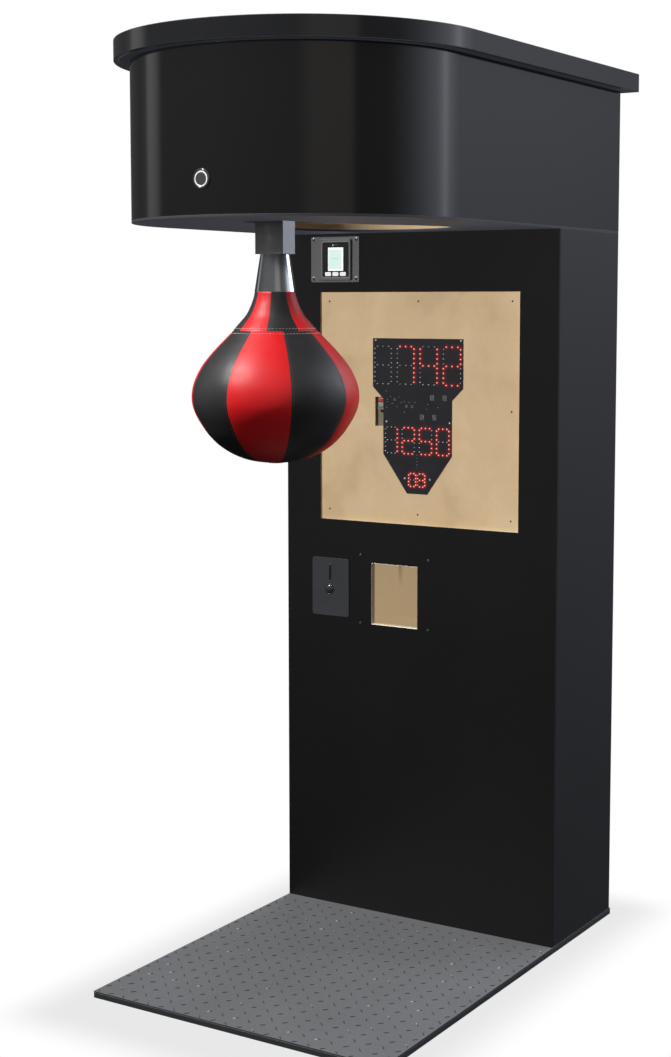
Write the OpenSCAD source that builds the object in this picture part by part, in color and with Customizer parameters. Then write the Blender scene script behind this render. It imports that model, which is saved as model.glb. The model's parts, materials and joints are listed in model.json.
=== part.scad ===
// Boxing arcade machine: a plywood cabinet on a tread-plate base, with a round-fronted
// head that carries a punch bag on a swinging steel arm.
// Units are millimetres. +Z is up, +Y points to the back of the machine.
// Origin: on the floor, under the middle of the whole outline.
// Inside the modules, y = 0 is the front face of the cabinet.

/* [Cabinet] */
// Width of the cabinet and of the head
cab_w = 720; // [700:5:740]
// Depth of the cabinet, front face to back face
cab_d = 318; // [310:1:330]
// Height of the joint between cabinet and head
cab_h = 1639; // [1635:1:1645]
// Thickness of the plywood boards
board_t = 18; // [15:1:18]
// Thickness of the black facing on the front
skin_t = 6; // [4:0.5:6]

/* [Base] */
// How far the base reaches in front of the cabinet
base_front = 746; // [700:1:800]
// Thickness of the base board
base_t = 12; // [9:1:12]
// Thickness of the tread plate on the base board
tread_t = 3; // [2:0.5:3]

/* [Head] */
// Length of the straight head sides in front of the cabinet
head_reach = 461; // [455:1:480]
// Wall of the head
wall_t = 12; // [9:1:12]
// Height of the head walls above the cabinet
head_wall_h = 325.5; // [310:0.5:380]
// Overhang of the top cap
cap_over = 32.5; // [25:0.5:40]
// Thickness of the top cap
cap_t = 41.5; // [36:0.5:60]

/* [Bag] */
// Distance of the bag's axis in front of the cabinet face
bag_y = 576; // [574:1:578]
// Height of the hinge that the bag swings on
pivot_z = 1678; // [1677:1:1679]
// Width of the arm's steel tube
arm_w = 68; // [60:1:70]
// Depth of the arm's steel tube
arm_d = 43; // [40:1:43]
// Height of the lower end of the arm's tube
arm_bottom = 1575; // [1572:1:1578]
// Thickness of the bag's cover
cover_t = 4; // [3:0.5:5]
// Radius of the hinge axle
axle_r = 10; // [10:1:10]

/* [Front panel] */
// Width of the window in the front facing
window_w = 529; // [480:1:540]
// Lower edge of the window
window_z0 = 961; // [950:1:980]
// Upper edge of the window
window_z1 = 1502; // [1480:1:1505]
// Left edge of the bay opening
bay_x0 = -122.5; // [-124:0.5:-110]
// Right edge of the bay opening
bay_x1 = 3.5; // [0:0.5:10]
// Lower edge of the bay opening
bay_z0 = 715.5; // [710:0.5:725]
// Upper edge of the bay opening
bay_z1 = 863; // [850:0.5:865]
// Score shown on the large row, -1 for a dark digit
row_1 = [-1, 7, 4, 2];
// Score shown on the middle row
row_2 = [1, 2, 5, 0];
// Number shown on the small row
row_3 = [0, 3];

/* [Resolution] */
// Facets of round shapes on screen
$fn = 48; // [24:4:96]

/* [Hidden] */

hw = cab_w / 2;
base_z = base_t + tread_t;
skin_z = 5;                          // facing under the head
ply_z = 13;                          // plywood in the head's bottom
deck_z = cab_h + skin_z + ply_z;     // top of the head's bottom board
wall_top = cab_h + head_wall_h;
front_y = -(head_reach + hw);        // foremost point of the head wall
y_off = -((front_y - cap_over) + (cab_d + cap_over)) / 2;
board_y = skin_t + board_t;          // back face of the front board
back_y = cab_d - board_t;            // inner face of the back boards
bag_top = 1499;
bag_low = 1152;

// Moves a shape from the cabinet's front-face frame to the machine's own frame
module place() translate([0, y_off, 0]) children();

// A box given by its lowest and highest corners
module span(a, b) translate(a) cube(b - a);

// A cylinder along Y from y0 to y1
module ycyl(x, z, r, y0, y1) translate([x, y0, z]) rotate([-90, 0, 0]) cylinder(r = r, h = y1 - y0);

// A cylinder along X from x0 to x1
module xcyl(y, z, r, x0, x1) translate([x0, y, z]) rotate([0, 90, 0]) cylinder(r = r, h = x1 - x0);

// A flat plate with round corners that stands in the XZ plane
module round_plate(x0, z0, x1, z1, r, y0, y1)
  translate([0, y1, 0]) rotate([90, 0, 0]) linear_extrude(y1 - y0) union() {
    translate([x0 + r, z0]) square([x1 - x0 - 2 * r, z1 - z0]);
    translate([x0, z0 + r]) square([x1 - x0, z1 - z0 - 2 * r]);
    for (x = [x0 + r, x1 - r], z = [z0 + r, z1 - r]) translate([x, z]) circle(r = r);
  }

// A shape drawn in (y, z) and stretched along X from x0 to x1
module slab_x(x0, x1) translate([x0, 0, 0]) rotate([90, 0, 90]) linear_extrude(x1 - x0) children();

// Outline of the head: straight sides with a half-round front
module head_outline(o = 0, back = cab_d) {
  translate([-hw - o, -head_reach]) square([cab_w + 2 * o, head_reach + back]);
  translate([0, -head_reach]) circle(r = hw + o, $fn = 160);
}

// Opening that the bag swings up through: a slot for the arm that widens to the bag's shape
hole_side = [[-525, 55], [-500, 61], [-470, 72], [-440, 86], [-410, 98], [-380, 111],
             [-350, 132], [-320, 152], [-290, 168], [-260, 180], [-234, 188], [-208, 192]];
hole_round = [for (a = [6 : 6 : 174]) [-208 + 178 * sin(a), 192 * cos(a)]];
module bag_hole() {
  polygon(concat(
    [for (p = hole_side) [p[1], p[0]]],
    [for (p = hole_round) [p[1], p[0]]],
    [for (i = [len(hole_side) - 1 : -1 : 0]) [-hole_side[i][1], hole_side[i][0]]]));
  translate([-55, -607]) square([110, 83]);
  translate([-37, -625]) square([74, 30]);
  for (s = [-1, 1]) translate([s * 37, -607]) circle(r = 18);
}

// ---------- base ----------
module base_board() color([0.12, 0.13, 0.14]) place()
  span([-hw - 1, -base_front, 0], [hw + 1, cab_d + 5, base_t]);

module tread_plate() color([0.42, 0.43, 0.44]) place()
  span([-hw - 1, -base_front, base_t], [hw + 1, cab_d + 5, base_z]);

// ---------- cabinet ----------
module side_panel(s) place()
  span([s > 0 ? hw - board_t : -hw, skin_t, base_z], [s > 0 ? hw : -hw + board_t, cab_d, cab_h]);
module side_panel_left() color([0.10, 0.10, 0.11]) side_panel(-1);
module side_panel_right() color([0.10, 0.10, 0.11]) side_panel(1);

pilot_x = 242.8;
pilot_z = [985, 1232.7, 1480.4];
pilots = [[-pilot_x, pilot_z[0]], [0, pilot_z[0]], [pilot_x, pilot_z[0]],
          [-pilot_x, pilot_z[1]], [pilot_x, pilot_z[1]],
          [-pilot_x, pilot_z[2]], [0, pilot_z[2]], [pilot_x, pilot_z[2]]];
pcb_screws = [[-112.4, 1389.8], [114.5, 1389.8], [-82.5, 1200], [86, 1201.5], [-32.5, 1068.5], [34.7, 1068.5]];
bay_screws = [[-153, 716], [33, 716], [-153, 880], [33, 880]];
reader_screws = [[-281, 1533.5], [-162, 1533.5], [-281, 1625], [-162, 1625]];
reader_c = [-215.2, 1577.7];

module front_openings(y0, y1) {
  span([-284, y0, 731], [-188, y1, 863]);
  span([bay_x0, y0, bay_z0], [bay_x1, y1, bay_z1]);
  ycyl(reader_c[0], reader_c[1], 20, y0, y1);
  for (p = bay_screws) ycyl(p[0], p[1], 2.1, y0, y1);
  for (p = reader_screws) ycyl(p[0], p[1], 2.1, y0, y1);
}

module front_board() color([0.76, 0.66, 0.51]) place() difference() {
  span([-hw + board_t, skin_t, base_z], [hw - board_t, board_y, cab_h]);
  front_openings(skin_t - 1, board_y + 1);
  span([-115.4, skin_t - 1, 1189], [-84, board_y - 4, 1257.5]);
  ycyl(-98, 1223, 5, board_y - 5, board_y + 1);
  for (p = pilots) ycyl(p[0], p[1], 2.3, skin_t - 1, board_y + 1);
  for (p = pcb_screws) ycyl(p[0], p[1], 1.6, skin_t - 1, board_y + 1);
}

module front_skin() color([0.10, 0.10, 0.11]) place() difference() {
  span([-hw, 0, base_z], [hw, skin_t, cab_h]);
  span([-window_w / 2, -1, window_z0], [window_w / 2, skin_t + 1, window_z1]);
  front_openings(-1, skin_t + 1);
}

module corner_battens() color([0.74, 0.63, 0.47]) place() {
  for (s = [-1, 1]) translate([s > 0 ? hw - board_t - 30 : -hw + board_t, board_y, base_z])
    cube([30, 30, cab_h - base_z]);
  span([-hw + board_t, back_y - 30, base_z], [-hw + board_t + 30, back_y, cab_h]);
  difference() {
    span([hw - board_t - 30, back_y - 30, base_z], [hw - board_t, back_y, cab_h]);
    span([hw - board_t - 31, back_y - 31, 615], [hw - board_t + 1, back_y - 8, 690]);
  }
}

// Rows of narrow vent slots through a back board
module vents(x0, n, pitch, z0, h, y0, y1)
  for (i = [0 : n - 1]) span([x0 + i * pitch, y0, z0], [x0 + i * pitch + 3.6, y1, z0 + h]);

module rear_panel_upper() color([0.10, 0.10, 0.11]) place() difference() {
  span([-hw + board_t, back_y, 1180], [hw - board_t, cab_d, cab_h]);
  vents(-79, 14, 12, 1360, 120, back_y - 1, cab_d + 1);
}

inlet = [250, 84];
module rear_rail_lower() color([0.10, 0.10, 0.11]) place() difference() {
  span([-hw + board_t, back_y, base_z], [hw - board_t, cab_d, 150]);
  span([inlet[0] - 22, back_y - 1, inlet[1] - 26], [inlet[0] + 22, cab_d + 1, inlet[1] + 26]);
}

door_z0 = 152;
door_z1 = 1178;
lock = [300, 665];
module rear_door() color([0.10, 0.10, 0.11]) place() difference() {
  span([-hw + board_t + 2, back_y + 1, door_z0], [hw - board_t - 2, cab_d, door_z1]);
  ycyl(lock[0], lock[1], 9.6, back_y, cab_d + 1);
  vents(-79, 14, 12, 960, 120, back_y, cab_d + 1);
  vents(-79, 14, 12, 250, 120, back_y, cab_d + 1);
}

hinge_x = -hw + board_t + 1;
hinge_y = cab_d + 4.5;
hinge_z = [240, 625, 1010];
hinge_h = 80;
knuckle = 26;
module door_hinges_fixed() color([0.55, 0.56, 0.58]) place() for (z = hinge_z) {
  difference() {
    union() {
      span([-hw + 1, cab_d, z], [hinge_x - 1, cab_d + 2, z + hinge_h]);
      for (dz = [0, hinge_h - knuckle]) translate([hinge_x, hinge_y, z + dz]) cylinder(r = 4, h = knuckle);
    }
    translate([hinge_x, hinge_y, z + knuckle]) cylinder(r = 4.7, h = hinge_h - 2 * knuckle);
    translate([hinge_x, hinge_y, z - 1]) cylinder(r = 2.5, h = hinge_h + 2);
  }
  translate([hinge_x, hinge_y, z - 2]) cylinder(r = 2.46, h = hinge_h + 4);
}

module door_hinges_moving() color([0.60, 0.61, 0.63]) place() for (z = hinge_z) difference() {
  union() {
    span([hinge_x + 1.2, cab_d, z], [hinge_x + 26, cab_d + 2, z + hinge_h]);
    translate([hinge_x, hinge_y, z + knuckle + 0.5]) cylinder(r = 4, h = hinge_h - 2 * knuckle - 1);
  }
  for (dz = [-1, hinge_h - knuckle - 0.5]) translate([hinge_x, hinge_y, z + dz]) cylinder(r = 4.7, h = knuckle + 1.5);
  translate([hinge_x, hinge_y, z - 1]) cylinder(r = 2.5, h = hinge_h + 2);
}

module door_lock_body() color([0.75, 0.76, 0.78]) place() difference() {
  union() {
    ycyl(lock[0], lock[1], 9.5, back_y - 10, cab_d);
    ycyl(lock[0], lock[1], 13, cab_d, cab_d + 3);
  }
  span([lock[0] - 1, cab_d + 0.5, lock[1] - 4.5], [lock[0] + 1, cab_d + 4, lock[1] + 4.5]);
}

module door_lock_cam() color([0.66, 0.67, 0.68]) place() {
  ycyl(lock[0], lock[1], 8, back_y - 14.3, back_y - 10.3);
  span([lock[0] - 7, back_y - 14.3, lock[1] - 39], [lock[0] + 7, back_y - 10.3, lock[1]]);
}

// ---------- head ----------
module head_bottom_skin() color([0.16, 0.16, 0.17]) place() translate([0, 0, cab_h])
  linear_extrude(skin_z) difference() {
    head_outline();
    bag_hole();
    translate([0, 160]) circle(r = 30);
  }

module head_bottom_board() color([0.76, 0.66, 0.51]) place() translate([0, 0, cab_h + skin_z])
  linear_extrude(ply_z) difference() {
    head_outline(-wall_t, back_y);
    bag_hole();
    translate([0, 160]) circle(r = 30);
  }

module head_shell() color([0.10, 0.10, 0.11]) place() difference() {
  translate([0, 0, cab_h + skin_z]) linear_extrude(wall_top - cab_h - skin_z) difference() {
    head_outline();
    head_outline(-wall_t, cab_d + 1);
  }
  ycyl(0, start_z, 14.1, front_y - 1, front_y + 40);
}

module head_back_panel() color([0.10, 0.10, 0.11]) place() difference() {
  span([-hw + wall_t, back_y, cab_h + skin_z], [hw - wall_t, cab_d, wall_top]);
  vents(-139, 24, 12, 1820, 90, back_y - 1, cab_d + 1);
}

module top_board() color([0.74, 0.63, 0.47]) place() translate([0, 0, wall_top])
  linear_extrude(board_t) head_outline(cap_over - 10, cab_d + cap_over - 10);

module top_cap() color([0.12, 0.12, 0.13]) place() difference() {
  translate([0, 0, wall_top]) linear_extrude(cap_t) head_outline(cap_over, cab_d + cap_over);
  translate([0, 0, wall_top - 1]) linear_extrude(cap_t - 8 + 1) head_outline(cap_over - 10, cab_d + cap_over - 10);
}

// ---------- steel frame in the head ----------
hook_y = -500;
hook_z = pivot_z + 97;
plunger_z = hook_z + 35;
module head_frame() color([0.20, 0.22, 0.24]) place() {
  // two rails on the head's bottom board
  for (s = [-1, 1]) difference() {
    translate([s * 245 - 20, -600, deck_z]) cube([40, 880, 40]);
    translate([s * 245 - 17, -601, deck_z + 3]) cube([34, 882, 34]);
  }
  // goal post that carries the latch and the stops
  for (s = [-1, 1]) span([s * 245 - 15, -485, deck_z + 40], [s * 245 + 15, -455, 1800]);
  span([-260, -485, 1800], [260, -455, 1830]);
  // ears and pin of the latch hook
  for (s = [-1, 1]) span([s > 0 ? 5 : -10, hook_y - 12, hook_z - 12], [s > 0 ? 10 : -5, -470, 1800]);
  xcyl(hook_y, hook_z, 5, -10, 10);
  // shelf that the solenoid hangs from
  span([-20, -602, 1830], [20, -455, 1834]);
  // arms of the two stop bumpers
  for (s = [-1, 1]) {
    span([s > 0 ? 14 : -34, -483, pivot_z + 38], [s > 0 ? 34 : -14, -477, 1800]);
    span([s > 0 ? 14 : -34, -498, pivot_z + 34], [s > 0 ? 34 : -14, -474, pivot_z + 38]);
  }
}

module bearing_blocks() color([0.28, 0.30, 0.33]) place() for (s = [-1, 1]) difference() {
  union() {
    translate([s * 75 - 15, -bag_y - 50, deck_z]) cube([30, 100, 13]);
    xcyl(-bag_y, pivot_z, 25, s * 75 - 15, s * 75 + 15);
    translate([s * 75 - 15, -bag_y - 25, deck_z]) cube([30, 50, pivot_z - deck_z]);
  }
  xcyl(-bag_y, pivot_z, 14, s * 75 - 16, s * 75 + 16);
  translate([s * 75 - 16, -bag_y - 60, deck_z - 10]) cube([32, 120, 10]);
  for (dy = [-38, 38]) translate([s * 75, -bag_y + dy, deck_z - 1]) cylinder(r = 4.2, h = 20);
}

module pivot_bushes() color([0.72, 0.58, 0.32]) place() for (s = [-1, 1]) difference() {
  union() {
    xcyl(-bag_y, pivot_z, 13.98, s * 75 - 15, s * 75 + 15);
    xcyl(-bag_y, pivot_z, 18, s > 0 ? 57 : -60, s > 0 ? 60 : -57);
  }
  xcyl(-bag_y, pivot_z, axle_r + 0.06, s * 75 - 30, s * 75 + 30);
}

module pivot_axle() color([0.70, 0.71, 0.73]) place() xcyl(-bag_y, pivot_z, axle_r, -104, 110);

module axle_collars() color([0.62, 0.63, 0.65]) place() for (s = [-1, 1]) difference() {
  xcyl(-bag_y, pivot_z, 17, s > 0 ? 91 : -100, s > 0 ? 100 : -91);
  xcyl(-bag_y, pivot_z, axle_r + 0.02, -120, 120);
}

// ---------- arm and bag ----------
module arm_tube() color([0.36, 0.37, 0.38]) place() difference() {
  union() {
    difference() {
      span([-arm_w / 2, -bag_y - arm_d / 2, arm_bottom], [arm_w / 2, -bag_y + arm_d / 2, pivot_z + 35]);
      span([-arm_w / 2 + 4, -bag_y - arm_d / 2 + 4, arm_bottom + 8], [arm_w / 2 - 4, -bag_y + arm_d / 2 - 4, pivot_z + 36]);
    }
    xcyl(-bag_y, pivot_z, 16, -56, 56);
  }
  xcyl(-bag_y, pivot_z, axle_r + 0.02, -60, 60);
  translate([0, -bag_y, arm_bottom - 1]) cylinder(r = 12.02, h = 20);
}

module catch_lug() color([0.55, 0.56, 0.58]) place() {
  for (s = [-1, 1]) slab_x(s > 0 ? 6 : -10, s > 0 ? 10 : -6)
    polygon([[-bag_y + arm_d / 2, pivot_z - 84], [-bag_y + arm_d / 2, pivot_z - 56],
             [-bag_y + 44, pivot_z - 62], [-bag_y + 46, pivot_z - 70], [-bag_y + 44, pivot_z - 78]]);
  xcyl(-bag_y + 38, pivot_z - 70, 4, -10, 10);
}

module bag_stem() color([0.60, 0.61, 0.63]) place() translate([0, -bag_y, 0]) {
  translate([0, 0, 1300]) cylinder(r = 12, h = arm_bottom + 24 - 1300);
  translate([0, 0, 1294]) cylinder(r = 45, h = 6);
}

module bag_ferrule() color([0.62, 0.63, 0.64]) place() translate([0, -bag_y, 0]) rotate_extrude($fn = 96)
  polygon([[12.03, arm_bottom], [30, arm_bottom], [42, bag_top + 0.3], [39, bag_top + 0.3],
           [27.5, arm_bottom - 4], [12.03, arm_bottom - 4]]);

// Half profile of the bag, from its neck to its lowest point, [radius, height]
bag_profile = [[41, bag_top], [43.5, 1488], [48.3, 1474], [58.3, 1453], [74.9, 1433], [93.4, 1412], [113, 1392],
               [131.4, 1372], [147, 1352], [158.5, 1332], [166.5, 1312], [170, 1292], [169, 1272],
               [162.5, 1252], [151.5, 1232], [136.5, 1210], [116, 1189], [90, 1171.5], [60, 1159.5],
               [30, 1153.6], [0, bag_low]];
// Inner side of the cover: each point of the profile moved inwards along its normal
function edge_in(p, q) = [q[1] - p[1], p[0] - q[0]] / norm(q - p);
function point_in(i) = let (n = edge_in(bag_profile[i - 1], bag_profile[i]) + edge_in(bag_profile[i], bag_profile[i + 1]))
  bag_profile[i] + cover_t * n / norm(n);
inner_profile = concat([[31, bag_top - cover_t]], [for (i = [1 : len(bag_profile) - 2]) point_in(i)], [[0, bag_low + cover_t]]);

module bag_core() color([0.80, 0.78, 0.66]) place() translate([0, -bag_y, 0]) difference() {
  rotate_extrude($fn = 96) polygon(concat([[0, bag_top - cover_t]], inner_profile));
  translate([0, 0, 1300]) cylinder(r = 12.03, h = 300);
  translate([0, 0, 1293.98]) cylinder(r = 45.02, h = 6.04);
}

module bag_cover() color([0.75, 0.08, 0.10]) place() translate([0, -bag_y, 0]) rotate_extrude($fn = 96)
  polygon(concat([[31, bag_top]], bag_profile, [for (i = [len(inner_profile) - 1 : -1 : 0]) inner_profile[i]]));

// ---------- speed pick-up ----------
module speed_vane() color([0.70, 0.71, 0.73]) place() difference() {
  union() {
    slab_x(104, 106) polygon(concat([[-bag_y, pivot_z]],
      [for (a = [72 : 4 : 108]) [-bag_y + 56 * cos(a), pivot_z + 56 * sin(a)]]));
    xcyl(-bag_y, pivot_z, 16, 101, 106);
  }
  xcyl(-bag_y, pivot_z, axle_r + 0.02, 90, 120);
}

module speed_sensor() color([0.08, 0.08, 0.09]) place() {
  span([98, -646, deck_z], [112, -612, deck_z + 3]);
  span([98, -646, deck_z], [112, -638, pivot_z + 34]);
  for (s = [-1, 1]) span([s > 0 ? 109 : 98, -638, pivot_z + 12], [s > 0 ? 112 : 101, -608, pivot_z + 34]);
}

// ---------- latch that holds the bag up between games ----------
hook_open = 18;
module hook_shape() {
  difference() {
    union() {
      circle(r = 11);
      translate([-5, 0]) square([10, 40]);
      polygon([[0, 0], [-9, -4], [0, -22], [0, -65], [-14, -63.5], [-15, -70], [-12, -73], [2, -73], [5, -69], [8, 0]]);
    }
    circle(r = 5.06);
  }
}
module latch_hook() color([0.66, 0.67, 0.70]) place() translate([0, hook_y, hook_z]) rotate([hook_open, 0, 0]) {
  slab_x(-4, 4) hook_shape();
  xcyl(0, 35, 3, -9, 9);
}

module latch_solenoid() color([0.30, 0.42, 0.30]) place() difference() {
  span([-18, -602, 1790], [18, -547, 1830]);
  ycyl(0, plunger_z, 5.08, -596, -540);
}

plunger_y = hook_y - 35 * sin(hook_open);
module solenoid_plunger() color([0.74, 0.75, 0.77]) place() difference() {
  union() {
    ycyl(0, plunger_z, 5, -590, plunger_y - 16);
    span([-9, plunger_y - 18, plunger_z - 8], [9, plunger_y - 13, plunger_z + 8]);
    for (s = [-1, 1]) span([s > 0 ? 5 : -9, plunger_y - 18, plunger_z - 8], [s > 0 ? 9 : -5, plunger_y + 7, plunger_z + 8]);
  }
  slab_x(-20, 20) translate([plunger_y, plunger_z - 1]) square([6.9, 11], center = true);
}

module stop_bumpers() color([0.06, 0.06, 0.06]) place() for (s = [-1, 1])
  translate([s * 24, -486, pivot_z + 22.5]) cylinder(r = 8, h = 11.5);

// ---------- start button ----------
start_z = 1711.5;
module start_button_body() color([0.07, 0.07, 0.07]) place() difference() {
  union() {
    difference() {
      ycyl(0, start_z, 19.5, front_y - 2.5, front_y + 1);
      translate([0, -head_reach, start_z - 30]) cylinder(r = hw, h = 60, $fn = 160);
    }
    ycyl(0, start_z, 14, front_y - 1, front_y + 42);
    ycyl(0, start_z, 19, front_y + wall_t + 0.6, front_y + wall_t + 7);
  }
  ycyl(0, start_z, 12.1, front_y - 3, front_y + 20);
  difference() {
    ycyl(0, start_z, 14.92, front_y - 3, front_y - 1);
    ycyl(0, start_z, 12.7, front_y - 4, front_y);
  }
}

module start_button_ring() color([0.92, 0.93, 0.95]) place() difference() {
  ycyl(0, start_z, 14.9, front_y - 3.4, front_y - 1);
  ycyl(0, start_z, 12.72, front_y - 5, front_y);
}

module start_button_cap() color([0.30, 0.30, 0.31]) place()
  ycyl(0, start_z, 11.9, front_y - 4.6, front_y + 15);

// ---------- card reader ----------
module reader_bracket() color([0.32, 0.32, 0.33]) place() difference() {
  round_plate(-288.5, 1525.5, -154.6, 1631.8, 4, -3.5, 0);
  for (p = reader_screws) ycyl(p[0], p[1], 2.1, -5, 1);
  ycyl(reader_c[0], reader_c[1], 20, -5, 1);
}

module reader_body() color([0.36, 0.36, 0.37]) place() difference() {
  union() {
    round_plate(-258, 1529.3, -172.2, 1626.2, 5, -13, -3.5);
    ycyl(reader_c[0], reader_c[1], 18, -4, board_y + 12);
  }
  span([-251.4, -14, 1536.4], [-175.6, -10.5, 1619.8]);
  span([-235, -11, 1551.8], [-192.3, -8.9, 1606.7]);
}

module reader_glass() color([0.04, 0.04, 0.05]) place() difference() {
  span([-251.3, -13.2, 1536.5], [-175.7, -10.5, 1619.7]);
  span([-234.9, -14, 1551.9], [-192.4, -9, 1606.6]);
}

module reader_screen() color([0.86, 0.95, 0.92]) place()
  span([-234.8, -13, 1552], [-192.5, -8.9, 1606.5]);

// ---------- score display ----------
pcb_outline = [[-120.3, 1394.8], [120.3, 1394.8], [120.3, 1281.2], [91.5, 1253.2], [91.5, 1124.6],
               [27, 1033.7], [-27, 1033.7], [-91.5, 1124.6], [-91.5, 1253.2], [-120.3, 1281.2]];
pcb_y0 = skin_t - 3;
pcb_y1 = skin_t - 1.4;
module display_board() color([0.15, 0.15, 0.17]) place() difference() {
  translate([0, pcb_y1, 0]) rotate([90, 0, 0]) linear_extrude(pcb_y1 - pcb_y0) polygon(pcb_outline);
  for (p = pcb_screws) ycyl(p[0], p[1], 1.6, pcb_y0 - 1, pcb_y1 + 1);
}

// Segments of a digit, in the order top, upper right, lower right, bottom, lower left, upper left, middle
SEG = [[1,1,1,1,1,1,0], [0,1,1,0,0,0,0], [1,1,0,1,1,0,1], [1,1,1,1,0,0,1], [0,1,1,0,0,1,1],
       [1,0,1,1,0,1,1], [1,0,1,1,1,1,1], [1,1,1,0,0,0,0], [1,1,1,1,1,1,1], [1,1,1,1,0,1,1]];
function seg_on(d, s) = d >= 0 && SEG[d][s] == 1;
// Places of one digit's lamps as [x, z, segment]; w and h are half sizes, xs and zs the lamp offsets
function digit_lamps(cx, cz, w, h, xs, zs) = concat(
  [for (x = xs) [cx + x, cz + h, 0]], [for (z = zs) [cx + w, cz + z, 1]],
  [for (z = zs) [cx + w, cz - z, 2]], [for (x = xs) [cx + x, cz - h, 3]],
  [for (z = zs) [cx - w, cz - z, 4]], [for (z = zs) [cx - w, cz + z, 5]],
  [for (x = xs) [cx + x, cz, 6]]);
rows = [
  [row_1, 61.3, 1332.2, 22.4, 43.8, [-15, 0, 15], [5.5, 16.4, 27.3, 38.2]],
  [row_2, 45.9, 1157.3, 16.3, 30.3, [-10.8, 0, 10.8], [5.1, 15.3, 25.4]],
  [row_3, 24, 1066.2, 9.5, 15.1, [-4.4, 4.4], [3.9, 11.4]]];
module lamps(lit) color(lit ? [1, 0.25, 0.15] : [0.75, 0.75, 0.74]) place()
  for (r = rows, i = [0 : len(r[0]) - 1])
    for (l = digit_lamps((i - (len(r[0]) - 1) / 2) * r[1], r[2], r[3], r[4], r[5], r[6]))
      if (seg_on(r[0][i], l[2]) == lit) ycyl(l[0], l[1], 1.9, pcb_y0 - 3, pcb_y0);
module display_leds_lit() lamps(true);
module display_leds_unlit() lamps(false);

// Chips, larger parts and small parts, each at [x, z]
chips = [[39.5, 1259], [72.5, 1259], [13, 1213.5], [45.5, 1213.5]];
coils = [[-60.5, 1252.5], [-14, 1237], [-29, 1237.5]];
smalls = [[-34, 1248.5], [-43, 1246], [-22, 1246.5], [-6.5, 1247], [-54.5, 1236.5], [-34, 1223.5],
          [28.5, 1243.5], [25, 1232], [-49, 1259], [-71.5, 1259], [-80, 1252.5], [-80, 1247],
          [-82, 1233.5], [-67.5, 1243], [55, 1237], [-84, 1272]];
module display_components() color([0.22, 0.22, 0.24]) place() {
  for (p = chips) span([p[0] - 5, pcb_y0 - 1.6, p[1] - 6.5], [p[0] + 5, pcb_y0, p[1] + 6.5]);
  for (p = coils) span([p[0] - 2.8, pcb_y0 - 1.4, p[1] - 3.4], [p[0] + 2.8, pcb_y0, p[1] + 3.4]);
  for (p = smalls) span([p[0] - 1.2, pcb_y0 - 0.8, p[1] - 0.7], [p[0] + 1.2, pcb_y0, p[1] + 0.7]);
  for (i = [0 : 4]) span([-1, pcb_y0 - 0.8, 1094 + i * 7.5], [1, pcb_y0, 1095.2 + i * 7.5]);
}

module display_spacers() color([0.70, 0.60, 0.40]) place() for (p = pcb_screws) difference() {
  ycyl(p[0], p[1], 3, pcb_y1, skin_t);
  ycyl(p[0], p[1], 1.6, pcb_y1 - 1, skin_t + 1);
}

// ---------- coin entry ----------
ret = [-238.6, 791];
module coin_plate() color([0.22, 0.22, 0.23]) place() difference() {
  union() {
    round_plate(-287.5, 727, -184.5, 867, 6.5, -2.5, 0);
    round_plate(-241.4, 807.5, -231.8, 853.5, 2, -3.6, -2.5);
  }
  span([-238.4, -6, 812], [-234.8, 1, 849]);
  ycyl(ret[0], ret[1], 11.4, -6, 1);
}

module coin_return_button() color([0.26, 0.26, 0.27]) place() {
  ycyl(ret[0], ret[1], 11, -7, 14);
}

module coin_validator() color([0.12, 0.12, 0.13]) place() difference() {
  span([-283, 0, 732], [-189, 86, 862]);
  span([-239, -1, 811], [-234.2, 62, 850]);
  ycyl(ret[0], ret[1], 11.4, -1, 24);
  span([-253, 38, 731], [-221, 72, 790]);
}

module coin_chute() color([0.60, 0.61, 0.62]) place() {
  difference() {
    span([-255, 37, 250], [-219, 73, 726]);
    span([-253.5, 38.5, 249], [-220.5, 71.5, 727]);
  }
  span([-255, board_y, 640], [-219, 37, 700]);
}

module cash_box() color([0.35, 0.36, 0.38]) place() difference() {
  span([-305, 28, base_z], [-115, 268, base_z + 210]);
  span([-303.5, 29.5, base_z + 1.5], [-116.5, 266.5, base_z + 211]);
}

module prize_bay() color([0.78, 0.68, 0.52]) place() difference() {
  union() {
    span([-166, board_y, 703], [46, board_y + 6, 893]);
    span([bay_x0 - 9, board_y, bay_z0 - 9], [bay_x1 + 9, 143, bay_z1 + 9]);
  }
  span([bay_x0, board_y - 1, bay_z0], [bay_x1, 134, bay_z1]);
  for (p = bay_screws) ycyl(p[0], p[1], 2.1, board_y - 1, board_y + 7);
}

// ---------- electrics ----------
module control_board() color([0.10, 0.35, 0.16]) place() {
  span([hw - board_t - 9.6, 70, 700], [hw - board_t - 8, 250, 880]);
  for (y = [78, 242], z = [708, 872]) xcyl(y, z, 3, hw - board_t - 8, hw - board_t);
  span([hw - board_t - 22, 100, 720], [hw - board_t - 9.6, 112, 790]);
  span([hw - board_t - 14, 150, 780], [hw - board_t - 9.6, 180, 810]);
  for (y = [205, 222]) xcyl(y, 730, 6, hw - board_t - 30, hw - board_t - 9.6);
  span([hw - board_t - 20, 130, 862], [hw - board_t - 9.6, 210, 872]);
}

module power_supply() color([0.66, 0.67, 0.68]) place()
  span([hw - board_t - 38, 60, 380], [hw - board_t, 259, 478]);

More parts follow.
